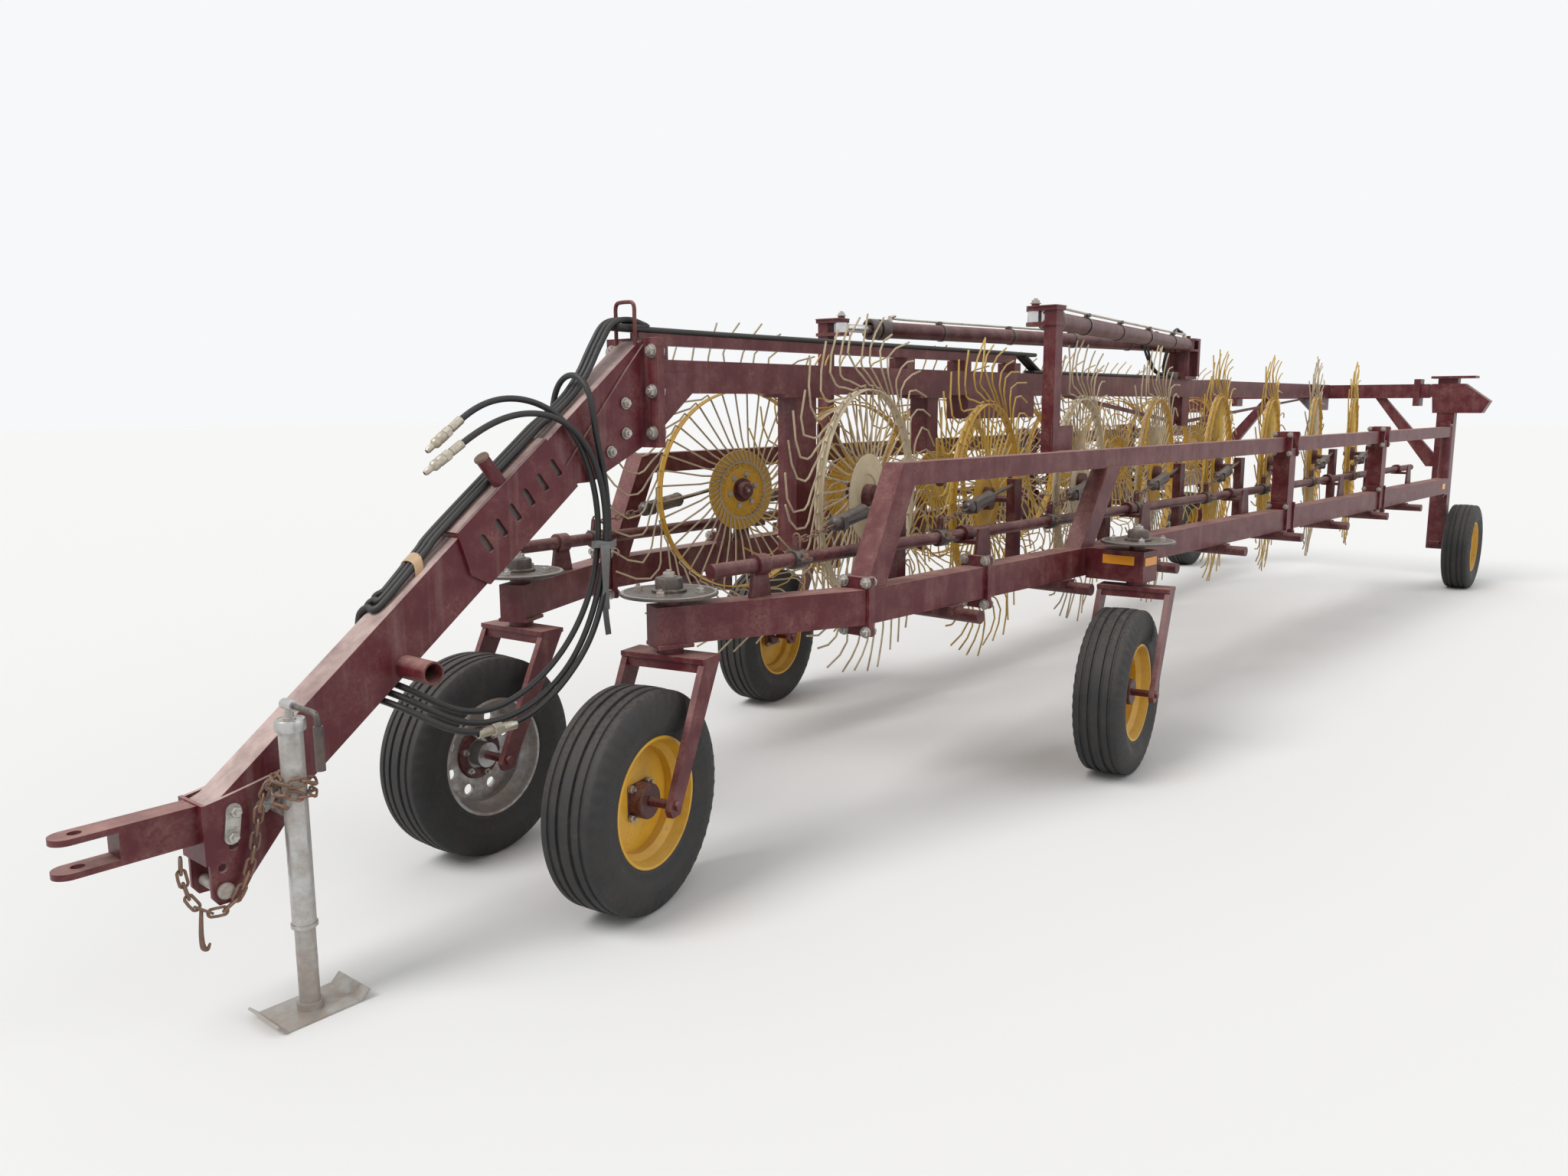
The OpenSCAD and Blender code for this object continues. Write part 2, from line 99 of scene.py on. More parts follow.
def makeStage(s):
    world = bpy.data.worlds.new("studio")
    bpy.context.scene.world = world
    world.use_nodes = True
    t = world.node_tree
    t.nodes.clear()
    out = t.nodes.new("ShaderNodeOutputWorld")
    seen, light = t.nodes.new("ShaderNodeBackground"), t.nodes.new("ShaderNodeBackground")
    mix, path = t.nodes.new("ShaderNodeMixShader"), t.nodes.new("ShaderNodeLightPath")
    either = t.nodes.new("ShaderNodeMath")
    either.operation = "MAXIMUM"
    seen.inputs["Color"].default_value = (*s["backdrop"], 1)
    light.inputs["Color"].default_value = (*s["sky"], 1)
    light.inputs["Strength"].default_value = s["ambient"]
    # the camera and glossy rays see the backdrop, and every other ray the ambient light
    for a, b in ((path.outputs["Is Camera Ray"], either.inputs[0]), (path.outputs["Is Glossy Ray"], either.inputs[1]),
                 (either.outputs[0], mix.inputs["Fac"]), (light.outputs[0], mix.inputs[1]),
                 (seen.outputs[0], mix.inputs[2]), (mix.outputs[0], out.inputs["Surface"])):
        t.links.new(a, b)
    mesh = bpy.data.meshes.new("floor")
    r = s["floorHalf"]
    mesh.from_pydata([(-r, -r, 0), (r, -r, 0), (r, r, 0), (-r, r, 0)], [], [(0, 1, 2, 3)])
    floor = newObject("floor", mesh)
    m, t, out = newMaterial("floorPaint")
    b = t.nodes.new("ShaderNodeBsdfPrincipled")
    b.inputs["Base Color"].default_value = (*s["floor"], 1)
    b.inputs["Roughness"].default_value = s["floorRough"]
    t.links.new(b.outputs[0], out.inputs["Surface"])
    mesh.materials.append(m)
    for name, (power, turn, soft) in s["lamps"].items():
        data = bpy.data.lights.new(name, "SUN")
        data.energy, data.angle = power, math.radians(soft)
        newObject(name, data).rotation_euler = [math.radians(a) for a in turn]


makeStage(stageSet)
print("camera and studio ready")

# every shape function gives a list of (points, faces) arrays


def around(n):
    # n even turns of a circle, in radians
    return np.arange(n) * 2 * math.pi / n


def ringFaces(rings, n):
    # quads between each ring of n points and the next
    i = np.arange(rings - 1)[:, None] * n
    j = np.arange(n)[None, :]
    k = (j + 1) % n
    return np.stack([i + j, i + k, i + n + k, i + n + j], -1).reshape(-1, 4)


def fanFaces(start, n, centre, flip=False):
    # triangles from each edge of a ring of n points to one centre point
    j = np.arange(n)
    f = np.stack([start + j, start + (j + 1) % n, np.full(n, centre)], -1)
    return f[:, ::-1] if flip else f


def alongPath(path):
    # unit tangents and two normals carried along the path without twist
    path = np.asarray(path, float)
    d = np.gradient(path, axis=0)
    d /= np.linalg.norm(d, axis=1)[:, None]
    n = np.cross(d[0], (0.0, 0.0, 1.0) if abs(d[0][2]) < 0.9 else (1.0, 0.0, 0.0))
    side = []
    for t in d:
        n = n - t * (n @ t)
        n = n / np.linalg.norm(n)
        side.append(n)
    side = np.array(side)
    return path, d, side, np.cross(d, side)


def tube(path, radius, sides=10, ends=True):
    # a circle of the given radius carried along the path, with a fan over each end
    p, d, a, b = alongPath(path)
    t = around(sides)[None, :, None]
    r = np.broadcast_to(np.asarray(radius, float), (len(p),))[:, None, None]
    v = (p[:, None] + r * (a[:, None] * np.cos(t) + b[:, None] * np.sin(t))).reshape(-1, 3)
    if not ends:
        return [(v, ringFaces(len(p), sides))]
    n = len(v)
    v = np.vstack([v, p[:1], p[-1:]])
    return [(v, ringFaces(len(p), sides)), (v, fanFaces(0, sides, n, True)), (v, fanFaces(n - sides, sides, n + 1))]


def smoothPath(points, count):
    # Catmull-Rom curve through the points, sampled evenly by parameter
    p = np.asarray(points, float)
    p = np.vstack([2 * p[0] - p[1], p, 2 * p[-1] - p[-2]])
    s = np.linspace(0, len(p) - 3 - 1e-9, count)
    i = s.astype(int)
    t = (s - i)[:, None]
    a, b, c, d = p[i], p[i + 1], p[i + 2], p[i + 3]
    return 0.5 * (2 * b + (c - a) * t + (2 * a - 5 * b + 4 * c - d) * t**2 + (3 * b - a - 3 * c + d) * t**3)


def runOf(p):
    # the distance along the path to each of its points
    return np.concatenate([[0], np.cumsum(np.linalg.norm(np.diff(p, axis=0), axis=1))])


def pointsAt(p, at):
    # the points that lie the given distances along the path
    run = runOf(p)
    return np.stack([np.interp(at, run, p[:, i]) for i in range(3)], -1)


def easedPath(points, count, passes):
    # the same curve with even steps, then each point drawn to the mean of its neighbours, both ends held
    p = smoothPath(points, count * 4)
    for k in range(passes + 1):
        p = pointsAt(p, np.linspace(0, runOf(p)[-1], count))
        if k < passes:
            p[2:-2] = 0.25 * p[1:-3] + 0.5 * p[2:-2] + 0.25 * p[3:-1]
    return p


def lathe(profile, sides, closed=True, wave=None):
    # profile of (radius, height) turned about Z; wave(angle, index) adds to the radius
    q = np.asarray(profile, float)
    t = around(sides)
    r = q[:, 0][:, None] + (wave(t[None, :], np.arange(len(q))[:, None]) if wave else np.zeros((1, sides)))
    v = np.stack([r * np.cos(t), r * np.sin(t), np.broadcast_to(q[:, 1][:, None], r.shape)], -1).reshape(-1, 3)
    f = ringFaces(len(q), sides)[:, ::-1]
    if closed:
        j = np.arange(sides)
        k = (j + 1) % sides
        last = (len(q) - 1) * sides
        f = np.vstack([f, np.stack([last + j, j, k, last + k], -1)[:, ::-1]])
    return [(v, f)]


def prism(outline, z0, z1, bevel=0.0):
    # outline of (x, y) points anticlockwise, raised from z0 to z1, its top edge drawn in by the bevel
    q = np.asarray(outline, float)
    n = len(q)
    c = q.mean(0)
    reach = np.linalg.norm(q - c, axis=1)[:, None]
    small = c + (q - c) * (1 - bevel / reach)
    rings = [np.c_[q, np.full(n, z0)], np.c_[q, np.full(n, z1 - bevel)], np.c_[small, np.full(n, z1)]]
    v = np.vstack(rings + [[[*c, z0]], [[*c, z1]]])
    return [(v, ringFaces(3, n)), (v, fanFaces(0, n, 3 * n, True)), (v, fanFaces(2 * n, n, 3 * n + 1))]


def hexagon(across, turn=0.0):
    # six corners at even turns, as far out as the width over the flats asks
    a = turn + np.arange(6) * math.pi / 3
    return np.stack([np.cos(a), np.sin(a)], -1) * across / math.sqrt(3)


def cornered(x, y, trim):
    # a rectangle of half widths x and y with its four corners cut off
    return [(x - trim, -y), (x, -y + trim), (x, y - trim), (x - trim, y), (-x + trim, y), (-x, y - trim),
            (-x, -y + trim), (-x + trim, -y)]


def block(size, bevel=0.002):
    # box about its middle with its edges eased
    x, y, z = np.asarray(size, float) / 2
    return prism(cornered(x, y, bevel), -z, z, bevel)


def ring(inner, outer, low, high):
    # profile of a plain ring, or of a disc where the inner radius is 0
    return [(inner, low), (outer, low), (outer, high), (inner, high)]


def collar(inner, outer, low, high):
    # profile of a ring with its two outer edges eased
    return [(inner, low), (outer - 0.002, low), (outer, low + 0.003), (outer, high - 0.003), (outer - 0.002, high),
            (inner, high)]


def place(parts, origin, ex, ey, ez):
    # parts from their own axes into the machine's frame; a mirrored set of axes turns the faces round
    m = np.array([ex, ey, ez], float)
    flip = np.linalg.det(m) < 0
    return [(v @ m + np.asarray(origin, float), f[:, ::-1] if flip else f) for v, f in parts]


def shifted(parts, by):
    return [(v + np.asarray(by, float), f) for v, f in parts]


def axesOf(z, hint=(0, 0, 1)):
    # three square axes: z as given, x as near the hint as it can be
    z = np.asarray(z, float) / np.linalg.norm(z)
    x = np.asarray(hint, float) - z * (np.asarray(hint, float) @ z)
    if np.linalg.norm(x) < 0.1:
        x = np.array([1.0, 0, 0]) - z * z[0]
    x /= np.linalg.norm(x)
    return x, np.cross(z, x), z


def turnedAt(profile, at, way, sides=24, closed=False):
    # a profile turned about the line through a point
    return place(lathe(profile, sides, closed), at, *axesOf(way))


boltForm = {"washer": 0.003, "washerR": 0.72, "head": 0.016, "ease": 0.002, "thread": 0.007, "threadR": 0.27}


def bolt(at, way, across=0.030, s=boltForm):
    # a hexagon head on its washer, with the thread's end standing out; both radii are shares of the width
    top = s["head"]
    parts = prism(hexagon(across), s["washer"], top, s["ease"])
    parts += lathe(ring(0.0, across * s["washerR"], 0.0, s["washer"]), 12, False)
    parts += tube([(0, 0, top - s["ease"]), (0, 0, top + s["thread"])], across * s["threadR"], 8)
    return place(parts, at, *axesOf(way, (0.3, 0.2, 1)))


def sidePlate(outline, y0, y1, holes=()):
    # a plate cut to an outline in X and Z, with holes, between two Y values, in millimetres
    loops = []
    for k, q in enumerate((outline, *holes)):
        q = np.asarray(q, float)
        area = np.sum(q[:, 0] * np.roll(q[:, 1], -1) - np.roll(q[:, 0], -1) * q[:, 1])
        loops.append(q if (area > 0) == (k == 0) else q[::-1])
    flat = np.vstack(loops)
    cap = np.array(tessellate_polygon([[Vector((*p, 0)) for p in q] for q in loops]))
    a, b, c = (flat[cap[:, i]] for i in range(3))
    backward = (b[:, 0] - a[:, 0]) * (c[:, 1] - a[:, 1]) - (b[:, 1] - a[:, 1]) * (c[:, 0] - a[:, 0]) < 0
    cap[backward] = cap[backward][:, ::-1]
    n = len(flat)
    v = np.vstack([np.c_[flat[:, 0], np.full(n, y), flat[:, 1]] for y in (y0, y1)])
    wall, at = [], 0
    for q in loops:
        j = np.arange(len(q)) + at
        k = np.roll(j, -1)
        wall.append(np.stack([j + n, k + n, k, j], -1))
        at += len(q)
    return [(v, cap), (v, cap[:, ::-1] + n), (v, np.vstack(wall))]


mergeWithin = 2e-6


def piece(name, groups, body, smooth=38):
    # groups: list of (material, slot name, parts); one mesh with a material slot for each group
    vs, fs, base = [], [], 0
    for k, (mat, slot, parts) in enumerate(groups):
        for v, f in parts:
            vs.append(v)
            fs.append((f + base, k))
            base += len(v)
    v = np.vstack(vs)
    sizes = np.concatenate([np.full(len(f), f.shape[1]) for f, k in fs])
    corner = np.concatenate([f.ravel() for f, k in fs])
    start = np.concatenate([[0], np.cumsum(sizes)[:-1]])
    group = np.concatenate([np.full(len(f), k) for f, k in fs])
    mesh = bpy.data.meshes.new(name)
    mesh.vertices.add(len(v))
    mesh.vertices.foreach_set("co", v.astype(np.float32).ravel())
    mesh.loops.add(len(corner))
    mesh.loops.foreach_set("vertex_index", corner.astype(np.int32))
    mesh.polygons.add(len(sizes))
    mesh.polygons.foreach_set("loop_start", start.astype(np.int32))
    mesh.polygons.foreach_set("material_index", group.astype(np.int32))
    for mat, slot, parts in groups:
        mesh.materials.append(mat)
    mesh.update(calc_edges=True)
    mesh.validate()
    bm = bmesh.new()
    bm.from_mesh(mesh)
    bmesh.ops.remove_doubles(bm, verts=bm.verts[:], dist=mergeWithin)
    bm.to_mesh(mesh)
    bm.free()
    mesh.polygons.foreach_set("use_smooth", np.ones(len(mesh.polygons), bool))
    mesh.set_sharp_from_angle(angle=math.radians(smooth))
    o = newObject(name, mesh)
    if body:
        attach(o, body)
    return o


# machine millimetres count from the rear axle, and each wing has its own frame
hingeAt, rearAxle = (0.160, 1.045), -5.065


def machinePath(points):
    # one point or many, from millimetres ahead of the rear axle into the machine's frame
    return np.asarray(points, float) / 1000 + (rearAxle, 0, 0)


def onMachine(parts):
    return [(machinePath(v), f) for v, f in parts]


def wingAxes(side):
    # along the wing from its hinge, across it and outwards, and up
    far, near = (np.array(joints[f"rake_wheel_{side}_{i}_turn"]["pos_m"]) for i in (1, 8))
    ex = (far - near) * (1, 1, 0)
    ex /= np.linalg.norm(ex)
    ey = np.array([-ex[1], ex[0], 0]) * sideSign[side]
    return ex, ey, np.array([0.0, 0, 1])


def wingPoint(side, x, y, z):
    ex, ey, ez = wingAxes(side)
    o = np.array([hingeAt[0] + rearAxle, hingeAt[1] * sideSign[side], 0])
    return o + ex * x / 1000 + ey * y / 1000 + ez * z / 1000


def strap(path, wide, width, thick):
    # a flat band carried along the path, its width along one fixed direction
    p, d, _, _ = alongPath(path)
    w = np.asarray(wide, float) / np.linalg.norm(wide)
    n = np.cross(d, w)
    n /= np.linalg.norm(n, axis=1)[:, None]
    a, b = w * width / 2, n * thick / 2
    v = np.stack([p - a - b, p + a - b, p + a + b, p - a + b], 1).reshape(-1, 3)
    last = len(v) - 4
    ends = np.array([[3, 2, 1, 0], [last, last + 1, last + 2, last + 3]])
    return [(v, np.vstack([ringFaces(len(p), 4), ends]))]


def oval(x, z, across, along, lean, count=16):
    # a slot with round ends as an outline, its long way leaning from upright by an angle in degrees
    t = around(count)
    q = np.stack([across / 2 * np.cos(t), across / 2 * np.sin(t) + np.where(np.sin(t) >= 0, 1, -1) * along / 2], -1)
    a = math.radians(lean)
    return q @ np.array([[math.cos(a), -math.sin(a)], [math.sin(a), math.cos(a)]]) + (x, z)


def chainLinks(path, pitch, wire, turn=0.0, points=14, sides=6):
    # links along a path, each a loop of round wire turned a quarter against the last
    p = np.asarray(path, float)
    length = runOf(p)[-1]
    count = max(1, int(length / pitch))
    at = (np.arange(count) + 0.5) * length / count
    behind, middle, ahead = (pointsAt(p, at + k * pitch / 3) for k in (-1, 0, 1))
    t = around(points)
    half, bow = pitch / 2 - wire * 0.55, wire * 1.35
    loop = np.stack([np.cos(t) * bow, np.sin(t) * bow + np.sign(np.sin(t)) * half, 0 * t], -1)
    way = np.gradient(np.vstack([loop[-1:], loop, loop[:1]]), axis=0)[1:-1]
    way /= np.linalg.norm(way, axis=1)[:, None]
    out = np.cross(way, (0.0, 0.0, 1.0))[:, None]
    r = around(sides)[None, :, None]
    v = loop[:, None] + wire / 2 * (out * np.cos(r) - np.array([0, 0, 1.0]) * np.sin(r))
    link = [(v.reshape(-1, 3), ringFaces(points + 1, sides) % (points * sides))]
    parts = []
    for k in range(count):
        ex, ez, ey = axesOf(ahead[k] - behind[k], (0.2, 0.9, 0.3))
        a = turn + math.pi / 2 * (k % 2)
        ex = ex * math.cos(a) + ez * math.sin(a)
        parts += place(link, middle[k], ex, ey, np.cross(ex, ey))
    return parts


# effects that several materials share


def newGroup(name, inputs, outputs):
    g = bpy.data.node_groups.new(name, "ShaderNodeTree")
    for n, kind, value in inputs:
        s = g.interface.new_socket(n, in_out="INPUT", socket_type=kind)
        s.default_value = value
    for n, kind in outputs:
        g.interface.new_socket(n, in_out="OUTPUT", socket_type=kind)
    return g, g.nodes.new("NodeGroupInput"), g.nodes.new("NodeGroupOutput")


class Wires:
    # short ways to add and join nodes in one tree
    def __init__(self, tree):
        self.t = tree

    def node(self, kind, **values):
        n = self.t.nodes.new(kind)
        for k, v in values.items():
            setattr(n, k, v)
        return n

    def put(self, value, socket):
        if isinstance(value, bpy.types.NodeSocket):
            self.t.links.new(value, socket)
        else:
            socket.default_value = value

    def math(self, op, a, b=0.0, clamp=False):
        n = self.node("ShaderNodeMath", operation=op, use_clamp=clamp)
        self.put(a, n.inputs[0])
        self.put(b, n.inputs[1])
        return n.outputs[0]

    def add(self, a, b, clamp=False):
        return self.math("ADD", a, b, clamp)

    def mul(self, a, b, clamp=False):
        return self.math("MULTIPLY", a, b, clamp)

    def weigh(self, a, shareA, b, shareB):
        return self.add(self.mul(a, shareA), self.mul(b, shareB))

    def upward(self, low, high):
        # how far the surface faces up
        xyz = self.node("ShaderNodeSeparateXYZ")
        self.put(self.node("ShaderNodeNewGeometry").outputs["Normal"], xyz.inputs[0])
        return self.span(xyz.outputs[2], low, high)

    def blend(self, fac, a, b, kind="MIX"):
        n = self.node("ShaderNodeMix", data_type="RGBA", blend_type=kind)
        self.put(fac, n.inputs[0])
        self.put(a, n.inputs[6])
        self.put(b, n.inputs[7])
        return n.outputs[2]

    def span(self, v, a, b, c=0.0, d=1.0):
        n = self.node("ShaderNodeMapRange")
        for s, x in zip(n.inputs, (v, a, b, c, d)):
            self.put(x, s)
        return n.outputs[0]

    def noise(self, where, scale, detail=3.0, rough=0.55):
        n = self.node("ShaderNodeTexNoise")
        self.put(where, n.inputs["Vector"])
        self.put(scale, n.inputs["Scale"])
        n.inputs["Detail"].default_value = detail
        n.inputs["Roughness"].default_value = rough
        return n.outputs["Fac"]

    def stretched(self, where, scale):
        n = self.node("ShaderNodeMapping")
        self.put(where, n.inputs["Vector"])
        n.inputs["Scale"].default_value = scale
        return n.outputs["Vector"]


def makeEdgeGroup():
    # where the surface turns a corner: the rounded normal against the true one
    g, gin, gout = newGroup("edgeRub", [("Reach", "NodeSocketFloat", 0.006)], [("Mask", "NodeSocketFloat")])
    w = Wires(g)
    bevel = w.node("ShaderNodeBevel", samples=4)
    g.links.new(gin.outputs["Reach"], bevel.inputs["Radius"])
    geo = w.node("ShaderNodeNewGeometry")
    dot = w.node("ShaderNodeVectorMath", operation="DOT_PRODUCT")
    g.links.new(bevel.outputs[0], dot.inputs[0])
    g.links.new(geo.outputs["Normal"], dot.inputs[1])
    g.links.new(w.span(dot.outputs["Value"], 0.985, 0.86), gout.inputs["Mask"])
    return g


def makePaintGroup(edge):
    # paler on upward faces as a painted highlight with sun fading, mottled, dusty, with rubbed edges and small chips
    g, gin, gout = newGroup("wornPaint", [
        ("Paint", "NodeSocketColor", (0.2, 0.03, 0.04, 1)), ("Faded", "NodeSocketColor", (0.5, 0.25, 0.22, 1)),
        ("Dust", "NodeSocketColor", (0.55, 0.45, 0.36, 1)), ("Bare", "NodeSocketColor", (0.16, 0.08, 0.05, 1)),
        ("Fade", "NodeSocketFloat", 0.6), ("Dusting", "NodeSocketFloat", 0.3), ("Chips", "NodeSocketFloat", 0.3)],
        [("Color", "NodeSocketColor"), ("Roughness", "NodeSocketFloat"), ("Height", "NodeSocketFloat")])
    w = Wires(g)
    at = w.node("ShaderNodeTexCoord").outputs["Object"]
    up = w.upward(0.25, 0.95)
    broad, mid, fine = w.noise(at, 1.7, 5, 0.6), w.noise(at, 11, 5, 0.6), w.noise(at, 95, 3, 0.6)
    runs = w.noise(w.stretched(at, (16, 16, 1.3)), 1.0, 4, 0.6)
    patch = w.span(w.weigh(broad, 0.6, mid, 0.4), 0.40, 0.62)
    # painted highlight with sun fading: upward faces blend towards the paler faded colour, in mottled patches and
    # streaks
    topHighlightAndFade = w.mul(up, w.add(w.mul(patch, 0.55), 0.45), True)
    topHighlightAndFade = w.add(topHighlightAndFade, w.mul(w.span(runs, 0.52, 0.72), 0.16), True)
    topHighlightAndFade = w.mul(topHighlightAndFade, gin.outputs["Fade"], True)
    col = w.blend(topHighlightAndFade, gin.outputs["Paint"], gin.outputs["Faded"])
    shade = w.node("ShaderNodeValToRGB")
    dim, bright = shade.color_ramp.elements
    dim.position, bright.position = 0.3, 0.75
    dim.color, bright.color = (0.72, 0.70, 0.70, 1), (1.12, 1.12, 1.12, 1)
    g.links.new(mid, shade.inputs[0])
    col = w.blend(0.8, col, shade.outputs[0], "MULTIPLY")
    film = w.weigh(up, 0.5, w.span(mid, 0.42, 0.7), 0.55)
    film = w.mul(w.mul(film, w.span(fine, 0.3, 0.62)), gin.outputs["Dusting"], True)
    col = w.blend(film, col, gin.outputs["Dust"])
    e = w.node("ShaderNodeGroup", node_tree=edge)
    e.inputs["Reach"].default_value = 0.005
    rub = w.mul(e.outputs["Mask"], w.span(mid, 0.44, 0.6), True)
    spots = w.span(w.weigh(fine, 0.5, mid, 0.5), 0.63, 0.67)
    rub = w.mul(w.math("MAXIMUM", rub, spots), gin.outputs["Chips"], True)
    col = w.blend(rub, col, gin.outputs["Bare"])
    g.links.new(col, gout.inputs["Color"])
    rough = w.add(w.span(fine, 0.3, 0.7, 0.34, 0.48), w.mul(w.math("MAXIMUM", topHighlightAndFade, film), 0.35))
    g.links.new(w.add(rough, w.mul(rub, 0.2), True), gout.inputs["Roughness"])
    g.links.new(w.math("SUBTRACT", w.mul(fine, 0.12), rub), gout.inputs["Height"])
    return g


def makeGrimeGroup():
    # two colours mottled together, with dust that lies on top
    g, gin, gout = newGroup("grimyMetal", [
        ("Metal", "NodeSocketColor", (0.3, 0.3, 0.3, 1)), ("Stain", "NodeSocketColor", (0.1, 0.07, 0.05, 1)),
        ("Dust", "NodeSocketColor", (0.5, 0.42, 0.34, 1)), ("Staining", "NodeSocketFloat", 0.5),
        ("Dusting", "NodeSocketFloat", 0.3), ("Grain", "NodeSocketFloat", 60.0)],
        [("Color", "NodeSocketColor"), ("Roughness", "NodeSocketFloat"), ("Clean", "NodeSocketFloat"),
         ("Height", "NodeSocketFloat")])
    w = Wires(g)
    at = w.node("ShaderNodeTexCoord").outputs["Object"]
    up = w.upward(0.1, 0.9)
    mid, fine = w.noise(at, 9, 5, 0.65), w.noise(at, gin.outputs["Grain"], 4, 0.6)
    stain = w.mul(w.span(w.weigh(mid, 0.6, fine, 0.4), 0.42, 0.6), gin.outputs["Staining"], True)
    col = w.blend(stain, gin.outputs["Metal"], gin.outputs["Stain"])
    film = w.mul(w.weigh(up, 0.7, w.span(mid, 0.45, 0.7), 0.4),
                 w.mul(w.span(fine, 0.25, 0.65), gin.outputs["Dusting"]), True)
    col = w.blend(film, col, gin.outputs["Dust"])
    g.links.new(col, gout.inputs["Color"])
    cover = w.math("MAXIMUM", stain, film)
    g.links.new(w.add(0.3, w.mul(cover, 0.5), True), gout.inputs["Roughness"])
    g.links.new(w.math("SUBTRACT", 1.0, cover, True), gout.inputs["Clean"])
    g.links.new(w.weigh(fine, 0.5, stain, 0.3), gout.inputs["Height"])
    return g


edgeGroup = makeEdgeGroup()
paintGroup = makePaintGroup(edgeGroup)
grimeGroup = makeGrimeGroup()


def withGroup(name, group, values, bumpStrength, bumpSize):
    # a material that takes its colour and a light bump from the group, whose inputs get the values of their names
    m, t, out = newMaterial(name)
    w = Wires(t)
    n = w.node("ShaderNodeGroup", node_tree=group)
    for k, v in values.items():
        n.inputs[k].default_value = (*v, 1) if isinstance(v, tuple) else v
    b = w.node("ShaderNodeBsdfPrincipled")
    bump = w.node("ShaderNodeBump")
    bump.inputs["Strength"].default_value = bumpStrength
    bump.inputs["Distance"].default_value = bumpSize
    for a, z in ((n.outputs["Color"], b.inputs["Base Color"]), (n.outputs["Height"], bump.inputs["Height"]),
                 (bump.outputs[0], b.inputs["Normal"]), (b.outputs[0], out.inputs["Surface"])):
        t.links.new(a, z)
    return m, w, n, b


def paint(name, gloss=0.4, **values):
    # painted steel: worn paint, with a painted highlight on its upward faces, into the shader's colour, roughness and a
    # light bump
    m, w, n, b = withGroup(name, paintGroup, values, 0.35, 0.0012)
    b.inputs["Specular IOR Level"].default_value = gloss
    w.put(n.outputs["Roughness"], b.inputs["Roughness"])
    return m


def metal(name, shine=0.0, bumpSize=0.0008, rough=0.0, **values):
    # bare or blackened metal and rubber: the grimy mottle, metallic only where it is clean
    m, w, n, b = withGroup(name, grimeGroup, values, 0.4, bumpSize)
    w.put(w.add(n.outputs["Roughness"], rough, True), b.inputs["Roughness"])
    if shine > 0:
        w.put(w.mul(n.outputs["Clean"], shine), b.inputs["Metallic"])
    return m


dustTone = (0.50, 0.40, 0.32)
# each paint's pale faded colour goes on its upward faces as a painted highlight with sun fading
frameRed = paint("frameRed", Paint=(0.100, 0.009, 0.015), Faded=(0.46, 0.24, 0.21), Dust=dustTone, Bare=(0.20, 0.10,
                 0.07),
                 Fade=0.75, Dusting=0.28, Chips=0.45)
armRed = paint("armRed", Paint=(0.072, 0.008, 0.012), Faded=(0.27, 0.11, 0.10), Dust=dustTone, Bare=(0.10, 0.06, 0.045),
               Fade=0.6, Dusting=0.35, Chips=0.5)
rakeYellow = paint("rakeYellow", Paint=(0.62, 0.34, 0.022), Faded=(0.74, 0.55, 0.20), Dust=(0.46, 0.31, 0.15),
                   Bare=(0.13, 0.065, 0.03), Fade=0.5, Dusting=0.55, Chips=0.6)
rakeCream = paint("rakeCream", Paint=(0.60, 0.50, 0.33), Faded=(0.72, 0.64, 0.48), Dust=(0.45, 0.36, 0.25),
                  Bare=(0.20, 0.13, 0.08), Fade=0.6, Dusting=0.5, Chips=0.5)
tineYellow = paint("tineYellow", Paint=(0.58, 0.37, 0.06), Faded=(0.72, 0.56, 0.24), Dust=(0.34, 0.22, 0.11),
                   Bare=(0.10, 0.06, 0.04), Fade=0.6, Dusting=0.8, Chips=0.9)
tineBleached = paint("tineBleached", Paint=(0.50, 0.40, 0.25), Faded=(0.66, 0.58, 0.42), Dust=(0.24, 0.17, 0.11),
                     Bare=(0.13, 0.09, 0.07), Fade=0.6, Dusting=0.8, Chips=0.9)
rimYellow = paint("rimYellow", Paint=(0.66, 0.36, 0.02), Faded=(0.74, 0.52, 0.16), Dust=(0.42, 0.30, 0.18),
                  Bare=(0.16, 0.08, 0.04), Fade=0.35, Dusting=0.35, Chips=0.35, gloss=0.5)
rimGrey = metal("rimGrey", 0.75, Metal=(0.42, 0.42, 0.42), Stain=(0.19, 0.12, 0.08), Dust=(0.45, 0.36, 0.28),
                Staining=0.65,
                Dusting=0.4, Grain=45.0)
galvanised = metal("galvanised", 0.8, Metal=(0.50, 0.50, 0.49), Stain=(0.22, 0.16, 0.11), Dust=(0.5, 0.42, 0.34),
                   Staining=0.55, Dusting=0.3, Grain=30.0)
zincBolt = metal("zincBolt", 0.75, Metal=(0.46, 0.45, 0.42), Stain=(0.20, 0.12, 0.08), Staining=0.6, Dusting=0.3,
                 Grain=120.0)
darkSteel = metal("darkSteel", 0.3, Metal=(0.055, 0.05, 0.05), Stain=(0.11, 0.065, 0.045), Staining=0.6, Dusting=0.35,
                  Grain=80.0)
rodChrome = metal("rodChrome", 0.95, Metal=(0.62, 0.62, 0.62), Stain=(0.30, 0.27, 0.25), Staining=0.25, Dusting=0.12,
                  Grain=20.0, rough=-0.12)
chainRust = metal("chainRust", 0.25, Metal=(0.14, 0.085, 0.06), Stain=(0.23, 0.10, 0.05), Staining=0.8, Dusting=0.25,
                  Grain=140.0)
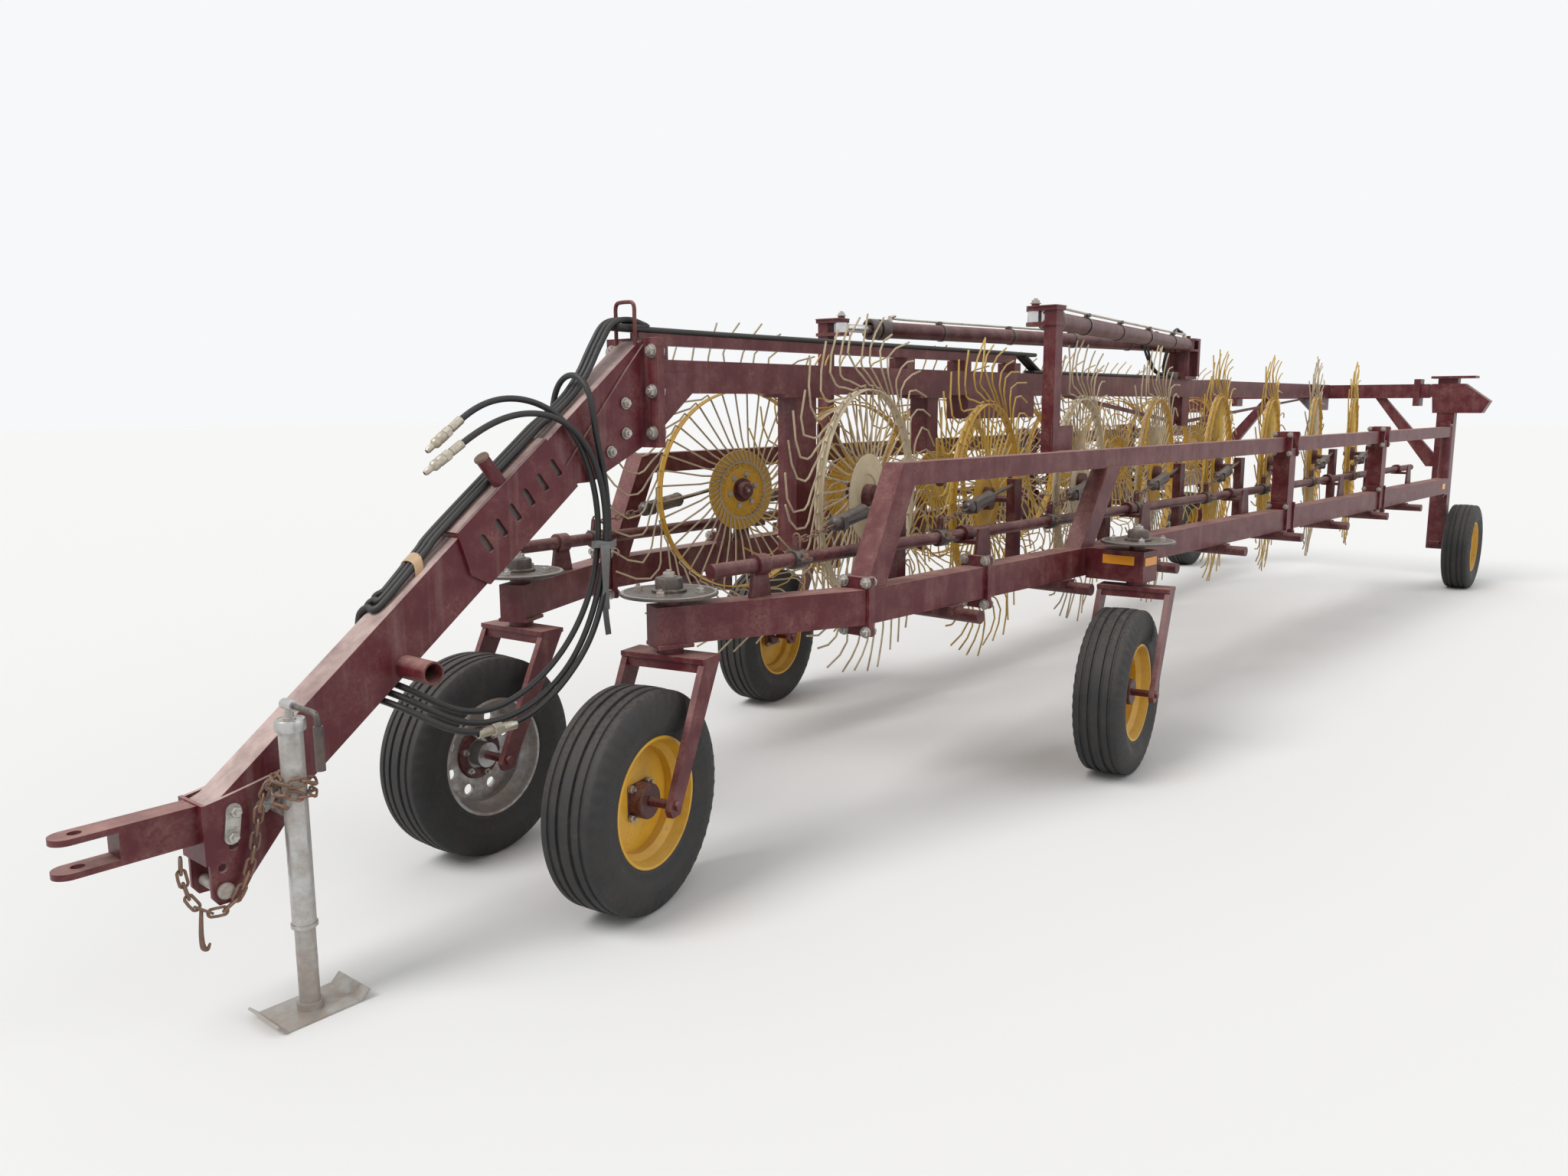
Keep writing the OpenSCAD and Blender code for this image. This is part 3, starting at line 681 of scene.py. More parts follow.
tyreRubber = metal("tyreRubber", 0.0, Metal=(0.014, 0.014, 0.015), Stain=(0.028, 0.026, 0.024), Dust=(0.15, 0.125,
                   0.105),
                   Staining=0.6, Dusting=0.55, Grain=70.0, rough=0.3, bumpSize=0.0012)
hoseRubber = metal("hoseRubber", 0.0, Metal=(0.010, 0.010, 0.011), Stain=(0.022, 0.020, 0.019), Dust=(0.11, 0.095,
                   0.082),
                   Staining=0.5, Dusting=0.45, Grain=150.0, rough=0.12)
fittingSteel = metal("fittingSteel", 0.85, Metal=(0.52, 0.49, 0.42), Stain=(0.26, 0.19, 0.11), Staining=0.5,
                     Dusting=0.25,
                     Grain=90.0)
clipTan = metal("clipTan", 0.0, Metal=(0.55, 0.36, 0.20), Stain=(0.36, 0.22, 0.12), Staining=0.5, Dusting=0.3,
                Grain=60.0, rough=0.1)
webbing = metal("webbing", 0.0, Metal=(0.20, 0.20, 0.20), Stain=(0.09, 0.085, 0.08), Staining=0.6, Dusting=0.4,
                Grain=420.0,
                rough=0.25, bumpSize=0.0006)
amberStrip = metal("amberStrip", 0.0, Metal=(0.75, 0.30, 0.02), Stain=(0.55, 0.20, 0.02), Staining=0.4, Dusting=0.25,
                   Grain=260.0, rough=-0.1)
tongueRed = paint("tongueRed", Paint=(0.105, 0.009, 0.016), Faded=(0.66, 0.52, 0.47), Dust=dustTone,
                  Bare=(0.20, 0.10, 0.07), Fade=0.9, Dusting=0.22, Chips=0.5)
footSteel = metal("footSteel", 0.6, Metal=(0.40, 0.39, 0.37), Stain=(0.24, 0.17, 0.12), Staining=0.6, Dusting=0.45,
                  Grain=40.0)
print("materials ready")

# the CAD's own pieces keep their shape and take these finishes, by the first start of a name that fits
finishes = (("tyre", tyreRubber), ("rim_front_right", rimGrey), ("rim", rimYellow), ("rake_wheel", rakeYellow),
            ("cylinder_rod", rodChrome), ("jack_tube", galvanised), ("jack_leg", footSteel), ("jack", darkSteel),
            ("spring_links", darkSteel), ("rake_arms", armRed), ("lift_shaft", armRed), ("cylinder_barrel", armRed),
            ("", frameRed))
for name, o in frame["nodes"].items():
    o.data.materials.clear()
    o.data.materials.append(next(finish for start, finish in finishes if name.startswith(start)))

# three free hoses that hang beside the tongue, rise past its head and arch over it; millimetres ahead of the rear axle
hoseSet = {"diameter": 0.020, "sides": 12, "rings": 181, "passes": 40,
           "length": {"hose_1": 1.905, "hose_2": 2.0123, "hose_3": 2.0842}}
hoseRoutes = {
    "hose_1": [
        (9580, 4, 798), (9580, 24, 798), (9571, 64, 792), (9548, 93, 774), (9516, 104, 750), (9475, 106, 721),
        (9430, 107, 698), (9380, 108, 684), (9320, 108, 678), (9250, 107, 688), (9170, 103, 714), (9090, 98, 756),
        (9020, 94, 808), (8960, 90, 870), (8910, 86, 940), (8870, 82, 1020), (8846, 76, 1100), (8834, 75, 1180),
        (8836, 75, 1260), (8852, 77, 1340), (8880, 79, 1420), (8918, 78, 1494), (8966, 66, 1556), (9025, 44, 1598),
        (9090, 20, 1618), (9155, 4, 1618), (9215, -6, 1600), (9270, -11, 1570), (9320, -12, 1530)],
    "hose_2": [
        (9604, 4, 779), (9604, 38, 779), (9594, 83, 772), (9568, 116, 752), (9532, 128, 725), (9490, 130, 696),
        (9440, 131, 670), (9380, 131, 652), (9310, 132, 646), (9240, 130, 652), (9170, 128, 672), (9100, 124, 704),
        (9030, 118, 748), (8970, 112, 806), (8920, 106, 874), (8880, 102, 950), (8850, 98, 1030), (8828, 97, 1110),
        (8818, 96, 1190), (8822, 97, 1270), (8838, 99, 1350), (8868, 100, 1426), (8912, 98, 1494), (8970, 90, 1544),
        (9035, 76, 1570), (9100, 60, 1574), (9165, 47, 1562), (9230, 38, 1536), (9290, 32, 1502), (9350, 28, 1462)],
    "hose_3": [
        (9628, 4, 760), (9628, 50, 760), (9617, 100, 752), (9588, 137, 730), (9548, 150, 700), (9505, 154, 670),
        (9455, 156, 646), (9400, 156, 634), (9330, 156, 630), (9260, 156, 634), (9200, 155, 646), (9140, 153, 674),
        (9080, 150, 710), (9025, 146, 752), (8970, 140, 800), (8924, 132, 852), (8884, 122, 912), (8850, 110, 976),
        (8822, 98, 1044), (8804, 88, 1110), (8794, 80, 1180), (8792, 78, 1260), (8800, 79, 1340), (8818, 80, 1420),
        (8840, 84, 1490), (8858, 92, 1545), (8862, 97, 1600), (8864, 85, 1655), (8864, 48, 1695), (8864, 0, 1708),
        (8864, -48, 1695), (8866, -85, 1655), (8868, -97, 1600), (8874, -95, 1545), (8884, -92, 1480)]}
# three lengths held along the beam, under the hose loop, down the tongue and round its foot; top and under are a point
# and the slope of the tongue's upper and lower edge, and shift is where they move sideways and over what length
heldSet = {"beamY": (-22, 0, 22), "tongueY": (-40, -17, 6), "turn": (9580, 9604, 9628), "rings": 260,
           "top": (10118, 602, 0.7997), "under": (9580, 798, -0.79), "shift": (8560, 180),
           "along": [(3790, 1760), (5560, 1760), (5640, 1768), (5800, 1838), (5900, 1850), (8470, 1850), (8540, 1862),
                     (8620, 1880), (8690, 1862), (8740, 1796), (8800, 1702), (8860, 1632), (8930, 1576), (9000, 1532),
                     (9060, 1486), (9380, 1232), (9450, 1166)]}


def couplerParts(end, way):
    # swaged collar, hexagon and quick coupler at a hose's end
    outline = [(0.0102, -0.040), (0.0135, -0.038), (0.0140, -0.030), (0.0132, -0.026), (0.0140, -0.020),
               (0.0132, -0.014), (0.0140, -0.008), (0.0132, -0.002), (0.0138, 0.006), (0.0110, 0.008),
               (0.0110, 0.016), (0.0110, 0.034), (0.0150, 0.036), (0.0160, 0.040), (0.0160, 0.056), (0.0145, 0.058),
               (0.0145, 0.062), (0.0160, 0.064), (0.0160, 0.078), (0.0120, 0.084), (0.0094, 0.086), (0.0094, 0.108),
               (0.0062, 0.114)]
    return place(lathe(outline, 24) + prism(hexagon(0.030), 0.015, 0.035, 0.0015), end, *axesOf(way))


def unionParts(at):
    # two swaged ends that meet in a hexagon
    half = [(0.0120, 0.020), (0.0142, 0.024), (0.0140, 0.068), (0.0102, 0.070)]
    outline = [(r, -z) for r, z in half[::-1]] + half
    return place(lathe(outline, 24) + prism(hexagon(0.034), -0.016, 0.016, 0.0015), machinePath(at), *axesOf((1, 0, 0)))


def hoses(s):
    for name, route in hoseRoutes.items():
        line = easedPath(machinePath(route), s["rings"], s["passes"])
        o = piece(name, [(hoseRubber, "tyre_black", tube(line, s["diameter"] / 2, s["sides"]))], "chassis")
        coupler = couplerParts(line[-1], line[-1] - line[-4])
        on = [piece(name + "_coupler", [(fittingSteel, "galvanised", coupler)], "chassis")]
        if name == "hose_3":
            on.append(piece("hose_3_union", [(fittingSteel, "galvanised", unionParts((9330, 156, 631)))], "chassis"))
        tuple(line[0])
        [tuple(p) for p in line]


def heldHoses(s, r):
    # each follows the beam, shifts sideways where the tongue begins, and turns round the tongue's edge at its foot
    (x0, z0, topFall), (x1, z1, underFall), (start, run) = s["top"], s["under"], s["shift"]
    parts = []
    for near, far, x in zip(s["beamY"], s["tongueY"], s["turn"]):
        top, under = z0 + (x0 - x) * topFall, z1 + (x - x1) * underFall
        share = np.clip([(px - start) / run for px, pz in s["along"]], 0, 1)
        route = [(px, near + (far - near) * k, pz) for (px, pz), k in zip(s["along"], share)]
        route += [(x - 26, far, top + 36), (x - 14, -42, top + 27), (x - 6, -60, top + 16), (x, -68, top - 4),
                  (x + 4, -68, top - 50), (x + 4, -68, under + 26), (x + 1, -60, under + 4), (x, -40, under),
                  (x, 4, under)]
        parts += tube(smoothPath(machinePath(route), s["rings"]), r, 12)
    piece("held_hoses", [(hoseRubber, "tyre_black", parts)], "chassis")


hoses(hoseSet)
heldHoses(heldSet, hoseSet["diameter"] / 2)
print("hoses laid")

# tined wheels
rakeSet = {"tines": 40, "tineR": 0.0042, "ringR": 0.427, "ringW": 0.036, "discR": 0.174, "sides": 5, "steps": 10,
           "wander": 1.1, "lean": 0.012, "tip": (0.695, 0.7285), "clearance": 0.017, "loopAt": 0.108, "boltAt": 0.070,
           "cream": (("left", 1), ("left", 3))}


def rakeWheel(side, i, s):
    j = joints[f"rake_wheel_{side}_{i}_turn"]
    ez = np.array(j["axis"], float)
    ex = np.array([0.0, 0, -1])
    ey = np.cross(ez, ex) * sideSign[side]
    cream = (side, i) in s["cream"]
    turn = rng.uniform(0, 9)
    tines, bolts = [], []
    # ring band: a flat hoop with a slight crown
    h, r, d = s["ringW"] / 2, s["ringR"], s["discR"]
    wheel = lathe([(r - 0.0025, -h), (r + 0.0015, -h), (r + 0.0035, 0), (r + 0.0015, h), (r - 0.0025, h),
                   (r - 0.0005, 0)], 80)
    # stamped disc: flat centre, raised step and a sloping outer flange
    wheel += lathe([(0.050, 0.006), (0.088, 0.006), (0.093, 0.001), (0.122, 0.001), (0.128, 0.0035),
                    (d - 0.004, -0.004), (d, -0.002), (d - 0.002, 0.002), (0.128, 0.008), (0.120, 0.0055),
                    (0.095, 0.0055), (0.090, 0.0105), (0.050, 0.0105)], 48)
    # a crimped loop round each pair of tines
    t = np.arange(9) * 2 * math.pi / 8
    loop = 0.0085 * np.stack([np.cos(t), np.sin(t), 0 * t], -1)
    for k in range(s["tines"] // 2):
        a = math.radians(turn + 720 / s["tines"] * k)
        wheel += tube((math.cos(a) * s["loopAt"], math.sin(a) * s["loopAt"], 0.0055) + loop, 0.0016, 4, False)
    # bearing hub with its cap and six bolts
    hub = lathe([(0.0, 0.012), (0.034, 0.012), (0.036, 0.016), (0.036, 0.040), (0.030, 0.046), (0.0, 0.046)], 24, False)
    hub += lathe([(0.016, -0.028), (0.050, -0.028), (0.052, -0.024), (0.052, 0.012), (0.016, 0.012)], 24)
    for k in range(6):
        a = math.radians(turn + 60 * k + 12)
        head = prism(hexagon(0.019, a), 0.0105, 0.021, 0.0015) + lathe(ring(0.0, 0.0135, 0.0105, 0.013), 10, False)
        bolts += shifted(head, (math.cos(a) * s["boltAt"], math.sin(a) * s["boltAt"], 0.0))
    bolts += lathe([(0.0, 0.046), (0.012, 0.046), (0.012, 0.053), (0.0, 0.056)], 12, False)
    # each tine: along the disc's flange, out to the ring, swept back, then forward to its tip
    for k in range(s["tines"]):
        lag = turn + 360 * k / s["tines"] + rng.normal(0, 0.12)
        bend = np.array([0, 0, 0, rng.normal(0, s["wander"]), rng.normal(0, s["wander"]), rng.normal(0, s["wander"])])
        tip = rng.uniform(*s["tip"])
        radius = np.array([0.119, 0.160, r, r + 0.101, r + 0.190, tip])
        angle = np.radians(lag + np.array([30, 9, 0, -22.5, -21.5, -12.5]) + bend)
        lift = np.array([0.009, 0.007, 0, rng.normal(0, 0.004), rng.normal(0, 0.008), rng.normal(0, s["lean"])])
        lift = np.clip(lift, -s["clearance"], s["clearance"])
        p = np.stack([radius * np.cos(angle), radius * np.sin(angle), lift], -1)
        knee = [p[0], p[1], p[2], p[2] + (p[3] - p[2]) * 0.12, p[2] + (p[3] - p[2]) * 0.75, p[3], p[4], p[5]]
        tines += tube(smoothPath(knee, s["steps"] + 2), s["tineR"], s["sides"])
    c = np.array(j["pos_m"])
    put = lambda parts: place(parts, c, ex, ey, ez)
    o = piece(f"rake_wheel_detail_{side}_{i}", [
        (rakeCream if cream else rakeYellow, "rake_yellow", put(wheel)),
        (tineBleached if cream or i % 3 == 1 else tineYellow, "rake_yellow", put(tines)),
        (armRed, "rake_yellow", put(hub)), (zincBolt, "rake_yellow", put(bolts))], f"rake_wheel_{side}_{i}")
    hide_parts(f"rake_wheel_{side}_{i}")


for side in sideSign:
    for i in range(1, 9):
        rakeWheel(side, i, rakeSet)
print("rake wheels made")

# tyres and hubs
tyreSet = {"radius": 0.36, "width": 0.215, "rim": 0.205, "around": 192, "groove": 0.009, "notch": 0.004, "sipe": 0.0016}


def onAxle(which, side, parts, sign=1):
    # from the wheel's own axes, with z along the axle or against it, into the machine's frame
    j = joints[f"{which}_wheel_{side}_turn"]
    return place(parts, j["pos_m"], *axesOf(sign * np.array(j["axis"], float)))


def tyrePiece(which, side, s):
    r, w, b, g = s["radius"], s["width"] / 2, s["rim"], s["groove"]
    # half section as (height above the bead, share of the width), then (depth under the tread, share of the width)
    wall = ((0, 0.70), (0.006, 0.795), (0.012, 0.83), (0.020, 0.87), (0.024, 0.865), (0.045, 0.95), (0.070, 0.992),
            (0.074, 1.0), (0.078, 0.994))
    tread = ((0.058, 0.985), (0.046, 0.965), (0.034, 0.940), (0.022, 0.900), (0.013, 0.855), (0.0065, 0.80),
             (0.004, 0.76), (0.0035, 0.60), (g, 0.575), (g, 0.495), (0.002, 0.47), (0.001, 0.285), (g, 0.26), (g, 0.17),
             (0, 0.145))
    half = [(b + up, w * k) for up, k in wall] + [(r - down, w * k) for down, k in tread]
    prof = np.array(half + [(q, -z) for q, z in half[::-1]])
    inner = np.array([(b - 0.001, -w * 0.62), (b - 0.001, w * 0.62)])
    prof = np.vstack([prof, inner])
    outer = (prof[:, 0] > r - 0.05) & (prof[:, 0] < r - 0.0048) & (np.abs(prof[:, 1]) > w * 0.84)
    rib = (prof[:, 0] > r - 0.0036) & (np.abs(prof[:, 1]) < w * 0.5)

    def wave(t, k):
        # shoulder blocks cut square, and a fine zigzag of sipes on the ribs
        blocks = np.clip(np.sin(t * 48) * 4, -1, 1) * s["notch"] * outer[k]
        sipes = s["sipe"] * (np.sin(t * 96 + 2.2 * k) > 0.72) * rib[k]
        return blocks - s["notch"] + s["notch"] * (1 - outer[k]) - sipes

    parts = onAxle(which, side, lathe(prof, s["around"], True, wave))
    o = piece(f"tyre_detail_{which}_{side}", [(tyreRubber, "tyre_black", parts)], f"{which}_wheel_{side}", 50)
    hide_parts(f"tyre_{which}_{side}")


# for each face: the sign of its axis, the height of its plate and the height of its studs
hubSet = {"plate": 0.118, "trim": 0.012,
          "yellow": {"studs": 4, "at": 0.068, "faces": ((1, 0.008, 0.018), (-1, -0.018, -0.028))},
          "grey": {"studs": 6, "at": 0.075, "faces": ((1, 0.011, 0.024), (-1, 0.004, -0.009))}}


def hubPiece(which, side, s):
    # a square plate with cut corners, or a round flange on the grey rim, with studs, on both faces
    grey = (which, side) == ("front", "right")
    kind, q = s["grey" if grey else "yellow"], s["plate"] / 2
    bolts, plate = [], []
    for sign, plateZ, studZ in kind["faces"]:
        own = ((1, 0, 0), (0, sign, 0), (0, 0, sign))
        if grey:
            flange = lathe([(0.058, 0.0), (0.092, 0.0), (0.094, 0.004), (0.090, 0.012), (0.058, 0.014)], 36)
        else:
            flange = prism(cornered(q, q, s["trim"]), 0, 0.010, 0.002)
        plate += place(flange, (0, 0, plateZ), *own)
        for k in range(kind["studs"]):
            a = math.radians(360 * k / kind["studs"] + 45)
            stud = prism(hexagon(0.022, a), 0.0, 0.014, 0.002) + tube([(0, 0, 0.010), (0, 0, 0.024)], 0.006, 8)
            bolts += place(stud, (math.cos(a) * kind["at"], math.sin(a) * kind["at"], studZ), *own)
    # red sleeves over the hub's two ends
    if not grey:
        plate += lathe([(0.0556, 0.018), (0.0568, 0.018), (0.0568, 0.060), (0.0535, 0.0640), (0.017, 0.0640),
                        (0.017, 0.0626), (0.0556, 0.0626)], 36)
        plate += lathe([(0.017, -0.0520), (0.044, -0.0520), (0.0468, -0.049), (0.0468, -0.018), (0.0456, -0.018),
                        (0.0456, -0.0506), (0.017, -0.0506)], 36)
    groups = [(armRed, "frame_red", onAxle(which, side, plate)), (zincBolt, "frame_red", onAxle(which, side, bolts))]
    piece(f"hub_plate_{which}_{side}", groups, f"{which}_wheel_{side}")


ventSet = {"bead": 205, "half": 75.25, "disc": 172, "bore": 88, "holes": 8, "holeR": 19, "holeAt": 134}


def ventedRim(s):
    # rolled barrel, a disc cut with a ring of round holes, and a turned hub; its red flange is with the hub's studs
    b, w = s["bead"], s["half"]
    outside = [(b + r, w + z) for r, z in ((0, 0), (6, 7), (6, 12), (-4, 12), (-10, -4), (-16, -24), (-34, -44))]
    inside = [(b + r, w + z) for r, z in ((-1, -2), (-8, -22), (-26, -44))]
    barrel = [(r, -z) for r, z in outside] + outside[::-1] + inside + [(r, -z) for r, z in inside[::-1]]
    hub = [(89, -14), (55, -16), (55, -60), (15.3, -62), (15.3, 50), (45, 50), (45, -3), (89, -3)]
    parts = lathe(np.array(barrel) / 1000, 96) + lathe(np.array(hub) / 1000, 48)

    def circle(cx, cz, r, n):
        t = around(n)
        return np.stack([cx + r * np.cos(t), cz + r * np.sin(t)], -1)

    turns = [math.radians(360 * (k + 0.5) / s["holes"]) for k in range(s["holes"])]
    holes = [circle(s["holeAt"] * math.cos(a), s["holeAt"] * math.sin(a), s["holeR"], 20) for a in turns]
    plate = sidePlate(circle(0, 0, s["disc"], 96), -12, -2, [circle(0, 0, s["bore"], 48), *holes])
    parts += [(v[:, [0, 2, 1]] / 1000, f[:, ::-1]) for v, f in plate]
    parts = onAxle("front", "right", parts, -1)
    o = piece("rim_detail_front_right", [(rimGrey, "rim_grey", parts)], "front_wheel_right", 34)
    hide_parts("rim_front_right")


ventedRim(ventSet)

for which in ("front", "middle", "rear"):
    for side in sideSign:
        tyrePiece(which, side, tyreSet)
        hubPiece(which, side, hubSet)
print("road wheels made")

# rows of bolts through the wing's splices and its two front plates: where, half the thickness, (y, z) of each, width
boltRows = (((1950, 3825), 64, ((-48, 806), (52, 806), (-48, 968), (52, 968), (-38, 1290), (52, 1290), (-38, 1402),
                                (52, 1402)), 0.024),
            ((7190, 7950), 14, ((-50, 799), (-50, 976), (50, 799), (50, 976)), 0.030))


def wingBolts(side, rows):
    ex, parts = wingAxes(side)[0], []
    for spots, half, holes, across in rows:
        for x in spots:
            for sign in (1, -1):
                for y, z in holes:
                    parts += bolt(wingPoint(side, x + sign * half, y, z), sign * ex, across)
    piece(f"wing_bolts_{side}", [(zincBolt, "galvanised", parts)], f"wing_{side}")


for side in sideSign:
    wingBolts(side, boltRows)

flangeSet = {"y": (-98, 98), "z": (1500, 1640, 1775), "faces": ((8596, 1), (8564, -1)), "across": 0.034}


def chassisBolts(s):
    parts = []
    for y in s["y"]:
        for z in s["z"]:
            for x, sign in s["faces"]:
                parts += bolt(machinePath((x, y, z)), (sign, 0, 0), s["across"])
    piece("flange_bolts", [(zincBolt, "galvanised", parts)], "chassis")


chassisBolts(flangeSet)
print("bolts made")

# the tongue with its fittings, the safety chain, and the jack's crank and rings
tongueSet = {"half": 52, "plate": 12, "head": 8580, "bevel": 0.003, "loopR": 0.007, "loopAt": (8622, 46, 1938),
             "post": (9150, 39, 1300), "postLean": 38, "socket": (9560, 850), "pin": (10124, 0, 364)}


def bevelled(o, width):
    m = o.modifiers.new("edges", "BEVEL")
    m.width, m.segments, m.limit_method, m.angle_limit = width, 2, "ANGLE", math.radians(40)


def tonguePiece(s):
    w, t, f = s["half"], s["plate"], s["head"]
    body = sidePlate([(10135, 500), (10150, 590), (10118, 602), (f + 40, 1800), (f + 14, 1812), (f + 14, 1462),
                      (f + 190, 1440), (9985, 500)], -w, w)
    for y, left, right in ((-w - t, 3, 0), (w, 0, 3)):
        body += sidePlate([(f + 14, 1800), (f + 14, 1460), (f + 260, 1345), (f + 420, 1340), (f + 90, 1720)],
                          y + left, y + t - right)
        # cheeks for the hitch, with a spare hole
        body += sidePlate([(10120, 606), (10156, 600), (10156, 350), (10140, 328), (10085, 326), (10050, 380),
                           (9930, 520), (9960, 640)], y, y + t,
                          [oval(10092, 476, 26, 0, 0), oval(10124, 424, 24, 0, 0)])
    body += sidePlate([(f, 1450), (f + 16, 1450), (f + 16, 1820), (f, 1820)], -125, 125)
    # saddle with its row of windows, as two plates and a folded top, with a dark block between the plates as painted
    # shade seen through the windows
    slots = [oval(9270 - 55 * k, 1182 + 43 * k, 22, 44, 38) for k in range(6)]
    outline = [(9372, 1222), (9030, 1492), (8905, 1335), (9262, 1055), (9330, 1090)]
    for y in (-w - t, w + 0.5):
        body += sidePlate(outline, y, y + t - 0.5, slots)
    # painted shade: a dark block filling the hollow between the saddle plates, seen through the windows
    inside = sidePlate([(9345, 1215), (9032, 1478), (8925, 1340), (9258, 1072)], -w - 1.5, w + 1.5)
    body += sidePlate([(9372, 1222), (9030, 1492), (9022, 1482), (9364, 1212)], -w - t + 3, w + t - 3)
    body += sidePlate([(9330, 1088), (9368, 1218), (9356, 1222), (9318, 1094)], -w - t + 3, w + t - 3)
    groups = [(tongueRed, "frame_red", onMachine(body)), (darkSteel, "frame_red", onMachine(inside))]
    o = piece("tongue_detail", groups, "chassis", 30)
    bevelled(o, s["bevel"])
    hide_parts("tongue")


def tongueFittings(s):
    w = s["half"]
    # hose loop: round bar bent square over the hoses
    x, y, z = s["loopAt"]
    loop = [(-y, 1790), (-y, 1880), (-y, z - 22), (-y + 6, z - 6), (-y + 22, z), (y - 22, z), (y - 6, z - 6),
            (y, z - 22), (y, 1880), (y, 1790)]
    red = tube(smoothPath(machinePath([(x, *q) for q in loop]), 60), s["loopR"], 10)
    # stout post with its rusty top, and the open socket that stores the jack
    lean, foot = math.radians(s["postLean"]), machinePath(s["post"])
    axis, sideways = (math.sin(lean), 0, math.cos(lean)), (0, 1, 0)
    socket = machinePath((s["socket"][0], w - 2, s["socket"][1]))
    red += turnedAt(ring(0.0, 0.022, 0.0, 0.172), foot, axis, 28)
    rust = turnedAt([(0.0, 0.172), (0.0245, 0.172), (0.0245, 0.178), (0.0225, 0.181), (0.0, 0.182)], foot, axis, 28)
    red += turnedAt(ring(0.028, 0.034, 0.0, 0.140), socket, sideways, 32, True)
    # painted shade: a dark disc near the socket's inner end darkens its hollow
    dark = turnedAt(ring(0.0, 0.028, 0.012, 0.014), socket, sideways)
    # pin through the cheeks with its pale head, and the oblong plate with two bolts
    zinc = turnedAt([(0.0, -0.078), (0.016, -0.078), (0.016, 0.066), (0.022, 0.066), (0.022, 0.074), (0.018, 0.078),
                     (0.0, 0.078)], machinePath(s["pin"]), sideways)
    plate = sidePlate(oval(10092, 535, 40, 68, -8, 28), w + 12, w + 18)
    zinc += onMachine(plate)
    for x, z in ((10086, 567), (10097, 502)):
        zinc += bolt(machinePath((x, w + 18, z)), (0, 1, 0), 0.026)
    for y, way in ((w + 12, 1), (-w - 12, -1)):
        for x, z in ((10010, 560), (9985, 612), (8690, 1500), (8690, 1600), (8760, 1440)):
            zinc += bolt(machinePath((x, y, z)), (0, way, 0), 0.028)
    piece("tongue_fittings", [(frameRed, "frame_red", red), (darkSteel, "frame_red", dark),
                              (zincBolt, "frame_red", zinc), (chainRust, "frame_red", rust)], "chassis")


strapSet = {"clipWide": 0.034, "clipThick": 0.003, "clipSlope": 38.6, "tieAt": (8820, 85, 1140), "tieWide": 0.024,
            "tieThick": 0.002}


def hoseStraps(s):
    # tan clip over the hoses, and the webbing tie with its hanging tails
    slope = math.radians(s["clipSlope"])
    clip = [(-58, 1104), (-56, 1130), (-44, 1150), (-17, 1156), (10, 1150), (20, 1132), (24, 1104)]
    band = strap(smoothPath(machinePath([(9480, *q) for q in clip]), 40), (math.cos(slope), 0, -math.sin(slope)),
                 s["clipWide"], s["clipThick"])
    piece("hose_clip", [(clipTan, "galvanised", band)], "chassis")
    x, y, z = s["tieAt"]
    turns = np.linspace(0, 2 * math.pi, 33)[:, None]
    band = machinePath(np.hstack([x + 47 * np.cos(turns), y + 29 * np.sin(turns), z + 3 * np.sin(3 * turns)]))
    tie = strap(band, (0, 0, 1), s["tieWide"], s["tieThick"])
    for dx, drop, swing in ((16, 300, 10), (30, 215, -8)):
        tail = [(x + dx, y + 30, z), (x + 2 + dx, y + 34, z - 28), (x + 4 + dx + swing * 0.5, y + 34, z - drop * 0.35),
                (x + 4 + dx + swing, y + 32, z - drop * 0.7), (x + dx + swing * 0.6, y + 34, z - drop)]
        tie += strap(smoothPath(machinePath(tail), 24), (1, 0, 0), s["tieWide"], s["tieThick"])
    piece("hose_tie", [(webbing, "dark_steel", tie)], "chassis")


chainSet = {"wire": 0.0078, "pitch": 0.034, "coil": (9965, 152, 650), "coilR": 44, "hook": (0.005, 0.0075, 0.003)}


def safetyChain(s):
    # hangs from the hitch in a loop, climbs to the jack and winds round its tube
    hang = [(10216, 40, 470), (10216, 38, 430), (10206, 46, 366), (10184, 58, 332), (10148, 72, 316), (10114, 84, 334),
            (10090, 90, 370), (10072, 93, 410), (10060, 95, 450), (10050, 96, 492), (10042, 98, 534), (10034, 103, 580),
            (10018, 112, 620), (9996, 118, 648)]
    x, y, z = s["coil"]
    k = np.arange(1, 22)
    a = np.radians(-50 + 38 * k)
    wound = np.stack([x + s["coilR"] * np.cos(a), y + s["coilR"] * np.sin(a), z - 3.6 * k + 5 * np.sin(2.2 * k)], -1)
    links = chainLinks(smoothPath(machinePath(np.vstack([hang, wound])), 400), s["pitch"], s["wire"])
    tail = [(10184, 58, 330), (10188, 60, 296), (10190, 60, 262), (10188, 60, 232), (10178, 60, 222), (10170, 60, 236)]
    hook = tube(smoothPath(machinePath(tail), 30), np.interp(np.arange(30), [0, 18, 29], s["hook"]), 8)
    piece("safety_chain", [(chainRust, "dark_steel", links + hook)], "chassis")


crankSet = {"arm": 0.008, "grip": 0.0125}


